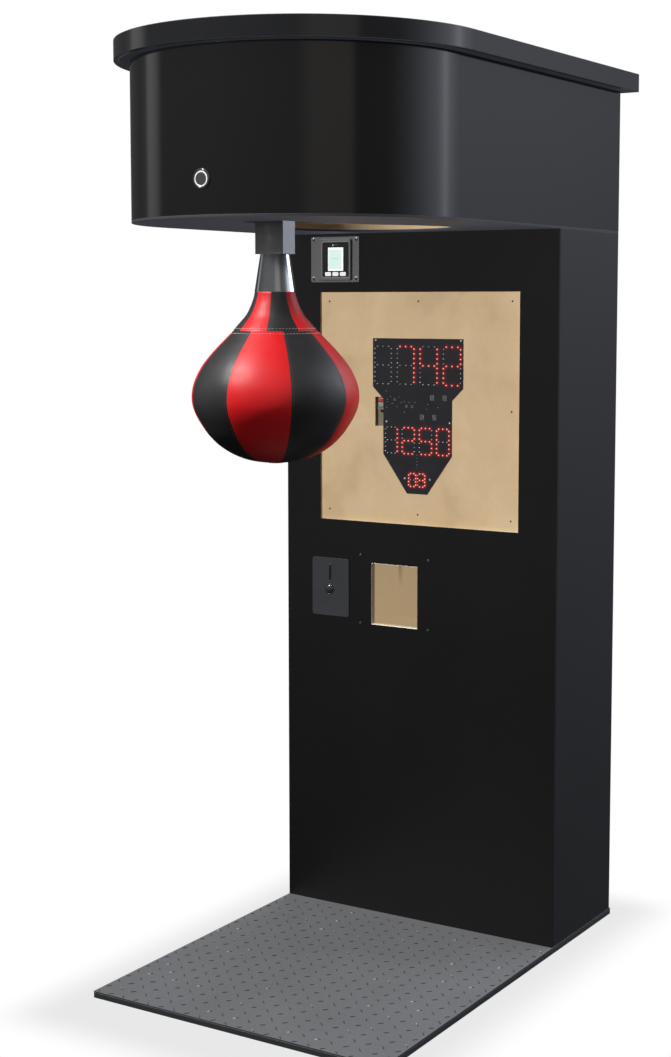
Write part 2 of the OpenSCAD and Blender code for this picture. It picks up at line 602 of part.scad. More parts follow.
module power_inlet() color([0.07, 0.07, 0.08]) place() {
  difference() {
    union() {
      span([inlet[0] - 25, cab_d, inlet[1] - 29], [inlet[0] + 25, cab_d + 3, inlet[1] + 29]);
      span([inlet[0] - 21.5, back_y - 20, inlet[1] - 25.5], [inlet[0] + 21.5, cab_d, inlet[1] + 25.5]);
    }
    span([inlet[0] - 12.3, cab_d - 14, inlet[1] - 20], [inlet[0] + 12.3, cab_d + 4, inlet[1] - 2]);
    span([inlet[0] - 11, cab_d - 8, inlet[1] + 6], [inlet[0] + 11, cab_d + 4, inlet[1] + 20]);
    xcyl(cab_d - 1, inlet[1] + 13, 1.56, inlet[0] - 12.6, inlet[0] + 12.6);
  }
  for (x = [-7, 7]) span([inlet[0] + x - 1, cab_d - 14, inlet[1] - 13], [inlet[0] + x + 1, cab_d, inlet[1] - 9]);
  span([inlet[0] - 1, cab_d - 14, inlet[1] - 9], [inlet[0] + 1, cab_d, inlet[1] - 5]);
}

module power_switch() color([0.70, 0.06, 0.06]) place() translate([inlet[0], cab_d - 1, inlet[1] + 13]) rotate([8, 0, 0]) {
  slab_x(-10, 10) polygon([[-5, -2], [-5, 2], [4.6, 5.6], [3.4, 0], [4.6, -5.6]]);
  xcyl(0, 0, 1.5, -12.4, 12.4);
}

// ---------- fasteners ----------
module panel_screws() color([0.45, 0.45, 0.46]) place() {
  for (p = reader_screws) { ycyl(p[0], p[1], 4.2, -5.6, -3.5); ycyl(p[0], p[1], 2, -3.5, 16); }
  for (p = bay_screws) { ycyl(p[0], p[1], 4, -1.6, 0); ycyl(p[0], p[1], 2, 0, board_y + 6); }
  for (p = pcb_screws) { ycyl(p[0], p[1], 3, pcb_y0 - 1.8, pcb_y0); ycyl(p[0], p[1], 1.5, pcb_y0, 18); }
  for (s = [-1, 1], dy = [-38, 38]) translate([s * 75, -bag_y + dy, deck_z]) {
    cylinder(r = 4, h = 13); translate([0, 0, 13]) cylinder(r = 8, h = 5.5, $fn = 6);
  }
}

base_board();
tread_plate();
side_panel_left();
side_panel_right();
front_board();
front_skin();
corner_battens();
rear_panel_upper();
rear_rail_lower();
rear_door();
door_hinges_fixed();
door_hinges_moving();
door_lock_body();
door_lock_cam();
head_bottom_skin();
head_bottom_board();
head_shell();
head_back_panel();
top_board();
top_cap();
head_frame();
bearing_blocks();
pivot_bushes();
pivot_axle();
axle_collars();
arm_tube();
catch_lug();
bag_stem();
bag_ferrule();
bag_core();
bag_cover();
speed_vane();
speed_sensor();
latch_hook();
latch_solenoid();
solenoid_plunger();
stop_bumpers();
start_button_body();
start_button_ring();
start_button_cap();
reader_bracket();
reader_body();
reader_glass();
reader_screen();
display_board();
display_leds_lit();
display_leds_unlit();
display_components();
display_spacers();
coin_plate();
coin_return_button();
coin_validator();
coin_chute();
cash_box();
prize_bay();
control_board();
power_supply();
power_inlet();
power_switch();
panel_screws();
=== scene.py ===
# Looks of the boxing arcade machine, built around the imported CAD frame.
# All lengths are metres in the row frame unless a name ends in _mm.
import json
import math
import random

import bmesh
import bpy
from mathutils import Matrix, Vector, noise

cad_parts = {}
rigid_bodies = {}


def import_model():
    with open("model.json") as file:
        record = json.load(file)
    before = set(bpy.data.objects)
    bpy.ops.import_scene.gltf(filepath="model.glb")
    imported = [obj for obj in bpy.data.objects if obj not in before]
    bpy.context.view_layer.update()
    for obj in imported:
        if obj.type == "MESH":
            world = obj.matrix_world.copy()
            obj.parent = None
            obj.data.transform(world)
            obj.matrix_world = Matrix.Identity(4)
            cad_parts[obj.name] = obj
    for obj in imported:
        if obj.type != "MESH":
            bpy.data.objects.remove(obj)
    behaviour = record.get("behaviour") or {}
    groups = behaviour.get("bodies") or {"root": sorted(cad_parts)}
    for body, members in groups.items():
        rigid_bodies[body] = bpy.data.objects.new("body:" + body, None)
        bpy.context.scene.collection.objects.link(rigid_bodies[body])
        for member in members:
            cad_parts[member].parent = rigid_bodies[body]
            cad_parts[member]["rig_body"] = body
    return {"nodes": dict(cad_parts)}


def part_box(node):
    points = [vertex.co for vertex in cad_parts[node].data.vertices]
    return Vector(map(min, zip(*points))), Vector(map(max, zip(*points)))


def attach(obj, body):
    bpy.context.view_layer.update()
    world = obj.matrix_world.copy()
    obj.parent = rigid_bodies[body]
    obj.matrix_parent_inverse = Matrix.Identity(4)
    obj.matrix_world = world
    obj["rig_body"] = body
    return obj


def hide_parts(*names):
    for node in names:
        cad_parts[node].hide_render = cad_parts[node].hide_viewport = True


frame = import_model()
NODES = frame["nodes"]
SLOT = {n: o.data.materials[0].name for n, o in NODES.items()}
for packed in list(bpy.data.materials):
    packed.name = "packed_" + packed.name
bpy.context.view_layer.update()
scene = bpy.context.scene
MM = 0.001
Y_OFF = 251.5  # the cabinet's front face lies this far back in the row frame, in mm


def P(x, y, z):
    """A point given in mm from the cabinet's front face, in the row frame."""
    return Vector((x * MM, (y + Y_OFF) * MM, z * MM))


# ------------------------------------------------------------------ camera
cam_data = bpy.data.cameras.new("camera")
cam_data.lens = 60.81
cam_data.sensor_width = 36
cam_data.shift_x = -0.02121
cam_data.shift_y = -0.04646
cam_data.clip_end = 60
cam = bpy.data.objects.new("camera", cam_data)
cam.location = (2.06126, -3.33076, 1.47570)
cam.rotation_euler = (math.radians(84.37), 0, math.radians(31.8))
scene.collection.objects.link(cam)
scene.camera = cam

scene.view_settings.view_transform = "Standard"
scene.view_settings.look = "None"
scene.view_settings.exposure = 0
scene.view_settings.gamma = 1


# ------------------------------------------------------------------ small helpers
def srgb(r, g, b):
    """Linear colour of an 8-bit sRGB one."""
    out = []
    for c in (r, g, b):
        c = c / 255
        out.append(c / 12.92 if c <= 0.04045 else ((c + 0.055) / 1.055) ** 2.4)
    return tuple(out)


def mix3(a, b, t):
    return tuple(x + (y - x) * t for x, y in zip(a, b))


def new_object(name, mesh):
    o = bpy.data.objects.new(name, mesh)
    scene.collection.objects.link(o)
    return o


def mesh_from(name, verts, faces, smooth=True, sharp_deg=35, mat_index=None):
    me = bpy.data.meshes.new(name)
    me.from_pydata([tuple(v) for v in verts], [], faces)
    me.validate()
    if mat_index is not None:
        me.polygons.foreach_set("material_index", mat_index)
    finish_normals(me, smooth, sharp_deg)
    return me


def finish_normals(me, smooth=True, sharp_deg=35):
    me.polygons.foreach_set("use_smooth", [smooth] * len(me.polygons))
    if smooth and sharp_deg < 180:
        me.set_sharp_from_angle(angle=math.radians(sharp_deg))
    me.update()


def bake(obj):
    """Applies the modifiers of obj to its mesh."""
    bpy.context.view_layer.update()
    deps = bpy.context.evaluated_depsgraph_get()
    me = bpy.data.meshes.new_from_object(
        obj.evaluated_get(deps), preserve_all_data_layers=True, depsgraph=deps
    )
    old = obj.data
    obj.modifiers.clear()
    obj.data = me
    me.name = obj.name
    if old.users == 0:
        bpy.data.meshes.remove(old)
    return obj


def bevelled(obj, width, segments=2, angle=30):
    m = obj.modifiers.new("bevel", "BEVEL")
    m.width = width
    m.segments = segments
    m.limit_method = "ANGLE"
    m.angle_limit = math.radians(angle)
    m.use_clamp_overlap = True
    m.miter_outer = "MITER_ARC"
    w = obj.modifiers.new("weight", "WEIGHTED_NORMAL")
    w.mode = "FACE_AREA"
    w.weight = 100
    w.thresh = 0.01
    w.keep_sharp = True
    return bake(obj)


# Pieces with rows of slots keep their triangles: their faces can't be one polygon each.
SLOTTED = ("rear_door", "rear_panel_upper", "head_back_panel", "coin_chute")


def refine(node, width=0.0006, segments=2, angle=30, name=None):
    """A copy of a CAD node with its sharp edges eased, which stands for the node."""
    src = NODES[node]
    bm = bmesh.new()
    bm.from_mesh(src.data)
    bmesh.ops.remove_doubles(bm, verts=bm.verts, dist=2e-6)
    bmesh.ops.dissolve_degenerate(bm, edges=bm.edges, dist=1e-7)
    if node not in SLOTTED:
        bmesh.ops.dissolve_limit(
            bm,
            angle_limit=math.radians(0.3),
            use_dissolve_boundaries=False,
            verts=bm.verts,
            edges=bm.edges,
        )
    me = bpy.data.meshes.new(name or "eased_" + node)
    bm.to_mesh(me)
    bm.free()
    finish_normals(me)
    obj = new_object(name or "eased_" + node, me)
    if width:
        bevelled(obj, width, segments, angle)
    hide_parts(node)
    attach(obj, src["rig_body"])
    return obj


def join(name, parts):
    """One mesh object made of several, with their materials kept."""
    bm = bmesh.new()
    mats, out = [], bpy.data.meshes.new(name)
    for p in parts:
        index = {}
        for i, m in enumerate(p.data.materials):
            if m not in mats:
                mats.append(m)
            index[i] = mats.index(m)
        start = len(bm.faces)
        tmp = p.data.copy()
        tmp.transform(p.matrix_world)
        bm.from_mesh(tmp)
        bm.faces.ensure_lookup_table()
        for f in bm.faces[start:]:
            f.material_index = index.get(f.material_index, 0)
        bpy.data.meshes.remove(tmp)
    bm.to_mesh(out)
    bm.free()
    for m in mats:
        out.materials.append(m)
    for p in parts:
        d = p.data
        bpy.data.objects.remove(p)
        if d.users == 0:
            bpy.data.meshes.remove(d)
    return new_object(name, out)


def lathe(rings, segments, axis_origin, axis="Z", close_top=True, close_bottom=True):
    """Verts and faces of a turned shape. rings are (radius, height) pairs in metres."""
    verts, faces = [], []
    for r, h in rings:
        for s in range(segments):
            a = 2 * math.pi * s / segments
            u, v = r * math.cos(a), r * math.sin(a)
            if axis == "Z":
                verts.append(Vector((u, v, h)) + axis_origin)
            elif axis == "-Y":  # the height runs towards the front
                verts.append(Vector((u, -h, v)) + axis_origin)
            else:
                verts.append(Vector((h, u, v)) + axis_origin)
    n = len(rings)
    for i in range(n - 1):
        for s in range(segments):
            t = (s + 1) % segments
            a, b, c, d = (
                i * segments + s,
                i * segments + t,
                (i + 1) * segments + t,
                (i + 1) * segments + s,
            )
            faces.append((a, b, c, d))
    if close_bottom:
        faces.append(tuple(reversed(range(segments))))
    if close_top:
        faces.append(tuple((n - 1) * segments + s for s in range(segments)))
    return verts, faces


def box_mesh(lo, hi):
    x0, y0, z0 = lo
    x1, y1, z1 = hi
    v = [
        (x0, y0, z0), (x1, y0, z0), (x1, y1, z0), (x0, y1, z0),
        (x0, y0, z1), (x1, y0, z1), (x1, y1, z1), (x0, y1, z1),
    ]
    f = [(0, 3, 2, 1), (4, 5, 6, 7), (0, 1, 5, 4), (1, 2, 6, 5), (2, 3, 7, 6), (3, 0, 4, 7)]
    return v, f


class Builder:
    """Collects verts and faces of one mesh."""

    def __init__(self):
        self.v, self.f, self.m = [], [], []

    def add(self, verts, faces, mat=0, matrix=None):
        n = len(self.v)
        self.v += [matrix @ Vector(p) if matrix else Vector(p) for p in verts]
        self.f += [tuple(i + n for i in face) for face in faces]
        self.m += [mat] * len(faces)

    def box(self, lo, hi, mat=0, matrix=None):
        v, f = box_mesh(lo, hi)
        self.add(v, f, mat, matrix)

    def object(self, name, smooth=True, sharp_deg=35, bevel=None):
        me = mesh_from(name, self.v, self.f, smooth, sharp_deg, self.m)
        o = new_object(name, me)
        if bevel:
            bevelled(o, bevel, 2)
        return o


# ------------------------------------------------------------------ materials
class Shader:
    """A Principled material with helpers for its node network."""

    def __init__(self, name):
        self.mat = bpy.data.materials.new(name)
        self.mat.use_nodes = True
        self.tree = self.mat.node_tree
        self.bsdf = self.tree.nodes["Principled BSDF"]
        self.coord = self.tree.nodes.new("ShaderNodeTexCoord").outputs["Object"]
        self.height = None

    def node(self, kind, **values):
        n = self.tree.nodes.new(kind)
        for k, v in values.items():
            if hasattr(n, k):
                setattr(n, k, v)
            else:
                n.inputs[k.replace("_", " ")].default_value = v
        return n

    def link(self, a, b):
        self.tree.links.new(a, b)

    def stretch(self, sx, sy, sz, coord=None):
        m = self.node("ShaderNodeMapping")
        m.inputs["Scale"].default_value = (sx, sy, sz)
        self.link(coord or self.coord, m.inputs["Vector"])
        return m.outputs["Vector"]

    def noise(self, scale, detail=2.0, rough=0.5, coord=None, distortion=0.0):
        n = self.node("ShaderNodeTexNoise")
        n.inputs["Scale"].default_value = scale
        n.inputs["Detail"].default_value = detail
        n.inputs["Roughness"].default_value = rough
        n.inputs["Distortion"].default_value = distortion
        self.link(coord or self.coord, n.inputs["Vector"])
        return n.outputs["Fac"]

    def voronoi(self, scale, feature="F1", coord=None, out="Distance"):
        n = self.node("ShaderNodeTexVoronoi", feature=feature)
        n.inputs["Scale"].default_value = scale
        self.link(coord or self.coord, n.inputs["Vector"])
        return n.outputs[out]

    def map(self, value, a, b, c, d, clamp=True):
        n = self.node("ShaderNodeMapRange", clamp=clamp)
        self.link(value, n.inputs["Value"])
        for k, x in zip(("From Min", "From Max", "To Min", "To Max"), (a, b, c, d)):
            n.inputs[k].default_value = x
        return n.outputs["Result"]

    def math(self, op, a, b=None):
        n = self.node("ShaderNodeMath", operation=op)
        for i, x in enumerate((a, b)):
            if x is None:
                continue
            if isinstance(x, (int, float)):
                n.inputs[i].default_value = x
            else:
                self.link(x, n.inputs[i])
        return n.outputs[0]

    def mix(self, fac, a, b, mode="MIX"):
        n = self.node("ShaderNodeMix", data_type="RGBA", blend_type=mode)
        n.inputs[0].default_value = 0.5
        if isinstance(fac, (int, float)):
            n.inputs[0].default_value = fac
        else:
            self.link(fac, n.inputs[0])
        for i, x in ((6, a), (7, b)):
            if isinstance(x, tuple):
                n.inputs[i].default_value = (*x, 1)
            else:
                self.link(x, n.inputs[i])
        return n.outputs[2]

    def ramp(self, value, stops, mode="LINEAR"):
        n = self.node("ShaderNodeValToRGB")
        n.color_ramp.interpolation = mode
        el = n.color_ramp.elements
        while len(el) < len(stops):
            el.new(0.5)
        for e, (p, c) in zip(el, stops):
            e.position = p
            e.color = (*c, 1)
        self.link(value, n.inputs["Fac"])
        return n.outputs["Color"]

    def bump(self, height, distance, strength=1.0):
        n = self.node("ShaderNodeBump")
        n.inputs["Strength"].default_value = strength
        n.inputs["Distance"].default_value = distance
        self.link(height, n.inputs["Height"])
        if self.height is not None:
            self.link(self.height, n.inputs["Normal"])
        self.height = n.outputs["Normal"]
        self.link(self.height, self.bsdf.inputs["Normal"])

    def set(self, **values):
        for k, v in values.items():
            s = self.bsdf.inputs[k.replace("_", " ")]
            if isinstance(v, tuple) and len(v) == 3 and s.type == "RGBA":
                v = (*v, 1)
            s.default_value = v

    def color(self, x):
        if isinstance(x, tuple):
            self.set(Base_Color=x)
        else:
            self.link(x, self.bsdf.inputs["Base Color"])

    def rough(self, x):
        if isinstance(x, (int, float)):
            self.set(Roughness=x)
        else:
            self.link(x, self.bsdf.inputs["Roughness"])


def surface(
    name, color, rough=0.5, metal=0.0, vary=0.06, vary_scale=6, rough_vary=0.05,
    grain=900, grain_mm=0.02, spec=None, coat=0.0, coat_rough=0.1, brushed=None, speck=None,
):
    """A moulded, painted or metal surface: mottled colour, uneven gloss and fine grain."""
    s = Shader(name)
    soft = s.noise(vary_scale, 3, 0.55)
    fine = s.noise(vary_scale * 14, 4, 0.6)
    both = s.math("ADD", s.math("MULTIPLY", soft, 0.65), s.math("MULTIPLY", fine, 0.35))
    dark = tuple(c * (1 - vary) for c in color)
    light = tuple(c * (1 + vary) for c in color)
    col = s.mix(s.map(both, 0.3, 0.7, 0, 1), dark, light)
    if speck:
        share, tone = speck
        dots = s.voronoi(650)
        col = s.mix(s.map(dots, share * 0.6, share, 0.5, 0), col, tone)
    s.color(col)
    s.rough(s.map(both, 0.3, 0.7, rough - rough_vary, rough + rough_vary))
    s.set(Metallic=metal)
    if spec is not None:
        s.set(**{"Specular_IOR_Level": spec})
    if coat:
        s.set(Coat_Weight=coat, Coat_Roughness=coat_rough)
    if brushed:
        lines = s.noise(1, 2, 0.6, s.stretch(*brushed))
        s.bump(lines, 0.00004, 0.5)
    if grain_mm:
        s.bump(s.noise(grain, 3, 0.6), grain_mm * MM, 0.6)
    return s.mat


M = {}
LAMINATE = srgb(27, 27, 28)
M["base_black"] = surface("base_black", srgb(41, 44, 46), 0.5, vary=0.10, grain=300, grain_mm=0.05)
M["cabinet_laminate"] = surface(
    "cabinet_laminate", srgb(22, 22, 23), 0.40, vary=0.07, vary_scale=4, rough_vary=0.03,
    grain=1400, grain_mm=0.012, spec=0.43,
)


def front_material():
    """Dull black laminate, a little deeper in tone low down: painted shade."""
    s = Shader("front_laminate")
    soft = s.noise(4, 3, 0.55)
    fine = s.noise(56, 4, 0.6)
    both = s.math("ADD", s.math("MULTIPLY", soft, 0.65), s.math("MULTIPLY", fine, 0.35))
    upper = s.mix(s.map(both, 0.3, 0.7, 0, 1), srgb(20.2, 20.2, 21.2), srgb(21.8, 21.8, 22.8))
    # painted shade: the lower tones make the facing darker towards the bottom
    lower = s.mix(s.map(both, 0.3, 0.7, 0, 1), srgb(10.5, 10.5, 11.5), srgb(12, 12, 13))
    sep = s.node("ShaderNodeSeparateXYZ")
    s.link(s.coord, sep.inputs[0])
    s.color(s.mix(s.map(sep.outputs["Z"], 0.1, 0.95, 0, 1), lower, upper))
    s.rough(s.map(both, 0.3, 0.7, 0.44, 0.50))
    s.set(Specular_IOR_Level=0.24)
    s.bump(s.noise(1400, 3, 0.6), 0.000012, 0.6)
    return s.mat


M["front_laminate"] = front_material()
# Lighter tone for the eased edges of the cap and of the head's bottom: painted highlight.
M["edge_trim"] = surface("edge_trim", srgb(60, 62, 65), 0.55, vary=0.3, vary_scale=40, grain=900, grain_mm=0.02)
M["head_laminate"] = surface(
    "head_laminate", srgb(24, 24, 25), 0.115, vary=0.06, vary_scale=4, rough_vary=0.015,
    grain=70, grain_mm=0.012,
)
M["head_underside"] = surface(
    "head_underside", srgb(60, 64, 70), 0.6, vary=0.06, vary_scale=5, grain=700, grain_mm=0.03
)
M["cap_plastic"] = surface(
    "cap_plastic", srgb(32, 33, 35), 0.12, vary=0.06, vary_scale=5, rough_vary=0.015,
    grain=70, grain_mm=0.012,
)
M["frame_paint"] = surface("frame_paint", srgb(58, 62, 66), 0.42, vary=0.1, grain=500, grain_mm=0.04)
M["cast_housing"] = surface(
    "cast_housing", srgb(84, 88, 94), 0.55, metal=0.3, vary=0.14, grain=350, grain_mm=0.15
)
M["bronze"] = surface("bronze", srgb(186, 142, 88), 0.32, metal=1, vary=0.12, grain=800, grain_mm=0.01)
M["bright_steel"] = surface(
    "bright_steel", srgb(176, 178, 182), 0.30, metal=1, vary=0.08, grain=900, grain_mm=0.008
)
M["arm_paint"] = surface(
    "arm_paint", srgb(146, 146, 149), 0.30, metal=1, vary=0.04, grain=900, grain_mm=0.006,
    brushed=(900, 900, 30),
)
# The arm tube's side faces get a darker copy of its paint: painted shade.
M["arm_side"] = surface(
    "arm_side", srgb(70, 72, 74), 0.34, metal=1, vary=0.04, grain=900, grain_mm=0.006,
    brushed=(900, 900, 30),
)
M["ferrule_chrome"] = surface(
    "ferrule_chrome", srgb(163, 165, 167), 0.17, metal=1, vary=0.04, grain=900, grain_mm=0.003,
)
M["black_plastic"] = surface("black_plastic", srgb(26, 26, 27), 0.42, vary=0.06, grain=1200, grain_mm=0.03)
M["coil_paint"] = surface("coil_paint", srgb(62, 92, 66), 0.4, vary=0.1, grain=500, grain_mm=0.03)
M["bumper_rubber"] = surface("bumper_rubber", srgb(22, 22, 22), 0.75, vary=0.12, grain=700, grain_mm=0.06)
M["halo_plastic"] = surface("halo_plastic", srgb(236, 238, 240), 0.3, vary=0.02, grain_mm=0.004)
M["button_grey"] = surface("button_grey", srgb(74, 74, 76), 0.34, vary=0.05, grain=900, grain_mm=0.01)
M["bezel_dark"] = surface("bezel_dark", srgb(40, 40, 42), 0.2, metal=0.6, vary=0.06, grain=900, grain_mm=0.004)
M["bezel_chrome"] = surface("bezel_chrome", srgb(196, 198, 202), 0.12, metal=1, vary=0.05, grain=900, grain_mm=0.002)
M["start_chrome"] = surface("start_chrome", srgb(150, 151, 154), 0.22, metal=1, vary=0.25, vary_scale=160, grain=900, grain_mm=0.006)
M["dome_chrome"] = surface("dome_chrome", srgb(86, 87, 90), 0.24, metal=0.75, vary=0.05, grain=900, grain_mm=0.002)
M["hinge_steel"] = surface(
    "hinge_steel", srgb(150, 152, 155), 0.36, metal=1, vary=0.12, grain=600, grain_mm=0.02,
    brushed=(700, 700, 30),
)
M["lock_chrome"] = surface("lock_chrome", srgb(205, 207, 210), 0.14, metal=1, vary=0.05, grain_mm=0.003)
M["reader_grey"] = surface("reader_grey", srgb(100, 102, 104), 0.48, vary=0.04, grain=1300, grain_mm=0.03)
# Lighter grey of the raised rim round the glass and of the rings under the reader's screws: partly their own grey,
# partly painted highlight.
M["reader_rim"] = surface("reader_rim", srgb(134, 135, 138), 0.35, vary=0.04, grain=1300, grain_mm=0.01)
M["reader_tile"] = surface("reader_tile", srgb(252, 252, 253), 0.35, vary=0.03, grain=1300, grain_mm=0.002)
# Darker grey for the reader body's side faces, painted shade; it also colours the small slot bar on the front.
M["reader_side"] = surface("reader_side", srgb(82, 82, 85), 0.5, vary=0.05, grain=1300, grain_mm=0.03)
M["gasket"] = surface("gasket", srgb(24, 24, 25), 0.7, vary=0.08, grain=900, grain_mm=0.02)
M["indicator"] = surface("indicator", srgb(196, 232, 218), 0.25, vary=0.04, grain_mm=0.0)
M["sill_white"] = surface("sill_white", srgb(246, 244, 238), 0.4, vary=0.015, grain=900, grain_mm=0.01)
M["wire_red"] = surface("wire_red", srgb(170, 62, 56), 0.35, vary=0.05, grain_mm=0.0)
M["nylon"] = surface("nylon", srgb(176, 176, 172), 0.45, vary=0.04, grain=1300, grain_mm=0.01)
M["reader_glass"] = surface(
    "reader_glass", srgb(24, 25, 27), 0.12, vary=0.03, rough_vary=0.01, grain_mm=0.0, coat=1.0, coat_rough=0.03
)
M["reader_screen"] = surface("reader_screen", srgb(222, 243, 236), 0.2, vary=0.01, grain_mm=0.0)
M["pcb_black"] = surface("pcb_black", srgb(37, 37, 42), 0.36, vary=0.05, vary_scale=20, grain=2500, grain_mm=0.004)
M["chip_black"] = surface("chip_black", srgb(84, 84, 89), 0.5, vary=0.08, grain=2500, grain_mm=0.01)
M["spacer_brass"] = surface("spacer_brass", srgb(190, 158, 96), 0.28, metal=1, vary=0.08, grain_mm=0.006)
M["coin_steel"] = surface(
    "coin_steel", srgb(56, 58, 61), 0.40, metal=0.0, vary=0.06, vary_scale=12, grain=900, grain_mm=0.02
)
M["cash_steel"] = surface("cash_steel", srgb(118, 121, 124), 0.38, metal=0.8, vary=0.1, grain=500, grain_mm=0.03)
M["pcb_green"] = surface("pcb_green", srgb(28, 92, 50), 0.35, vary=0.08, vary_scale=20, grain=2500, grain_mm=0.006)
M["psu_case"] = surface(
    "psu_case", srgb(166, 168, 171), 0.34, metal=0.9, vary=0.08, grain=700, grain_mm=0.02
)
M["rocker_red"] = surface("rocker_red", srgb(176, 24, 26), 0.28, vary=0.04, grain_mm=0.004)
M["screw_zinc"] = surface("screw_zinc", srgb(196, 198, 202), 0.28, metal=1, vary=0.1, vary_scale=200, grain_mm=0.004)
M["screw_black"] = surface("screw_black", srgb(92, 92, 95), 0.32, metal=0.6, vary=0.1, vary_scale=200, grain_mm=0.004)
M["screw_grey"] = surface("screw_grey", srgb(84, 84, 87), 0.34, metal=0.5, vary=0.1, vary_scale=200, grain_mm=0.004)
M["screw_white"] = surface("screw_white", srgb(196, 198, 204), 0.35, metal=0.2, vary=0.06, vary_scale=200, grain_mm=0.004)


def wood_material(name, tones, fibre=0.5):
    """Sanded board: soft cloudy mottling, short fibres and a few dark flecks."""
    s = Shader(name)
    cloud = s.noise(7, 2, 0.45, distortion=0.4)
    patch = s.noise(22, 3, 0.5)
    fibres = s.noise(1, 4, 0.65, s.stretch(260, 260, 34))
    dust = s.noise(900, 2, 0.7)
    base = s.ramp(
        s.math("ADD", s.math("MULTIPLY", cloud, 0.7), s.math("MULTIPLY", patch, 0.3)),
        [(0.32, tones[0]), (0.50, tones[1]), (0.66, tones[2])],
        "EASE",
    )
    base = s.mix(s.map(fibres, 0.35, 0.75, 0.0, 0.12 * fibre), base, tones[3])
    base = s.mix(s.map(dust, 0.45, 0.8, 0.0, 0.10), base, tones[3])
    flecks = s.voronoi(120, coord=s.stretch(1, 1, 0.45))
    base = s.mix(s.map(flecks, 0.0, 0.10, 0.22, 0.0), base, tones[3])
    s.color(base)
    s.rough(s.map(fibres, 0.3, 0.7, 0.60, 0.74))
    s.bump(fibres, 0.00006, 0.5)
    s.bump(dust, 0.00003, 0.5)
    return s.mat


TAN = (srgb(210, 181, 140), srgb(222, 193, 150), srgb(228, 200, 158), srgb(156, 120, 80))
M["plywood"] = wood_material("plywood", TAN)
M["cut_board"] = wood_material("cut_board", (srgb(160, 148, 130), srgb(168, 156, 138), srgb(172, 160, 142), srgb(128, 110, 88)))


def bay_material():
    """Pale lining that glows softly: the glow is painted light, as there is no lamp in the bay. Painted shade darkens
    its far corner.
    """
    s = Shader("bay_board")
    tone = s.ramp(
        s.noise(9, 3, 0.5),
        [(0.32, srgb(120, 106, 84)), (0.5, srgb(128, 113, 90)), (0.68, srgb(132, 118, 94))],
        "EASE",
    )
    fibres = s.noise(1, 4, 0.65, s.stretch(220, 220, 30))
    sep = s.node("ShaderNodeSeparateXYZ")
    s.link(s.coord, sep.inputs[0])
    # painted shade: the far top corner of the bay is darkened
    corner = P(-122.5, 134, 863)
    to_side = s.math("SUBTRACT", sep.outputs["X"], corner.x)
    to_back = s.math("SUBTRACT", corner.y, sep.outputs["Y"])
    near = s.map(s.math("ADD", s.math("MAXIMUM", to_side, 0.0), s.math("MAXIMUM", to_back, 0.0)), 0.0, 0.011, 1, 0)
    up = s.map(sep.outputs["Z"], corner.z - 0.080, corner.z - 0.01, 0, 1)
    corner_shade = s.math("MULTIPLY", near, up)
    s.color(s.mix(s.math("MULTIPLY", corner_shade, 0.6), tone, srgb(70, 56, 40)))
    s.rough(s.map(fibres, 0.3, 0.7, 0.62, 0.74))
    s.bump(fibres, 0.00005, 0.5)
    # painted light: the lining's emission stands in for a lamp that the bay doesn't have; the painted corner shade
    # dims it too
    glow = s.mix(s.map(fibres, 0.3, 0.7, 0.0, 0.5), (0.288, 0.216, 0.128), (0.316, 0.240, 0.146))
    glow = s.mix(s.math("MULTIPLY", corner_shade, 0.85), glow, (0.10, 0.072, 0.045))
    s.link(glow, s.bsdf.inputs["Emission Color"])
    s.set(Emission_Strength=1.0)
    return s.mat


M["bay_board"] = bay_material()
M["bay_jamb"] = surface("bay_jamb", srgb(158, 149, 136), 0.55, vary=0.06, vary_scale=20, grain=900, grain_mm=0.03)
# Dark discs in the pilot holes: painted shade for blind holes.
M["hole_dark"] = surface("hole_dark", srgb(64, 46, 30), 0.8, vary=0.25, vary_scale=300, grain=900, grain_mm=0.05)
# Darker wood inside the cable notch, and darker still on its wall that faces right: painted shade of the recess.
M["notch_board"] = wood_material("notch_board", (srgb(118, 110, 94), srgb(126, 118, 101), srgb(130, 121, 104), srgb(96, 84, 66)), 0.4)
M["notch_dark"] = surface("notch_dark", srgb(112, 98, 78), 0.7, vary=0.1, grain=900, grain_mm=0.03)


def tread_material():
    """Rolled grey tread plate: dull metal with light scratches on top; faces tilted from the top take a dark tone,
    partly the dark edge and partly painted shade.
    """
    s = Shader("tread_steel")
    geo = s.tree.nodes.new("ShaderNodeNewGeometry")
    soft = s.noise(5, 3, 0.55)
    fine = s.noise(420, 3, 0.6)
    scratch = s.noise(1, 3, 0.6, s.stretch(24, 700, 40))
    top = s.mix(s.map(soft, 0.3, 0.7, 0, 1), srgb(112, 113, 115), srgb(119, 120, 122))
    top = s.mix(s.map(fine, 0.35, 0.7, 0.0, 0.5), top, srgb(98, 99, 101))
    top = s.mix(s.map(scratch, 0.62, 0.8, 0.0, 0.25), top, srgb(150, 151, 153))
    sep = s.node("ShaderNodeSeparateXYZ")
    s.link(geo.outputs["Normal"], sep.inputs[0])
    # painted shade: faces that tilt away from straight up get the dark tone
    up = s.map(sep.outputs["Z"], 0.75, 0.96, 0, 1)
    s.color(s.mix(up, srgb(40, 44, 47), top))
    s.rough(s.map(fine, 0.3, 0.7, 0.44, 0.58))
    s.set(Metallic=0.35)
    s.bump(fine, 0.00003, 0.6)
    return s.mat


M["tread_steel"] = tread_material()
# The studs are dark all over: painted shade for their shadowed sides.
M["tread_stud"] = surface("tread_stud", srgb(56, 58, 61), 0.5, metal=0.2, vary=0.2, vary_scale=60, grain=900, grain_mm=0.02)
# Light tone on some studs: partly wear, partly painted glint.
M["tread_worn"] = surface("tread_worn", srgb(182, 184, 187), 0.45, metal=0.3, vary=0.06, grain=900, grain_mm=0.01)


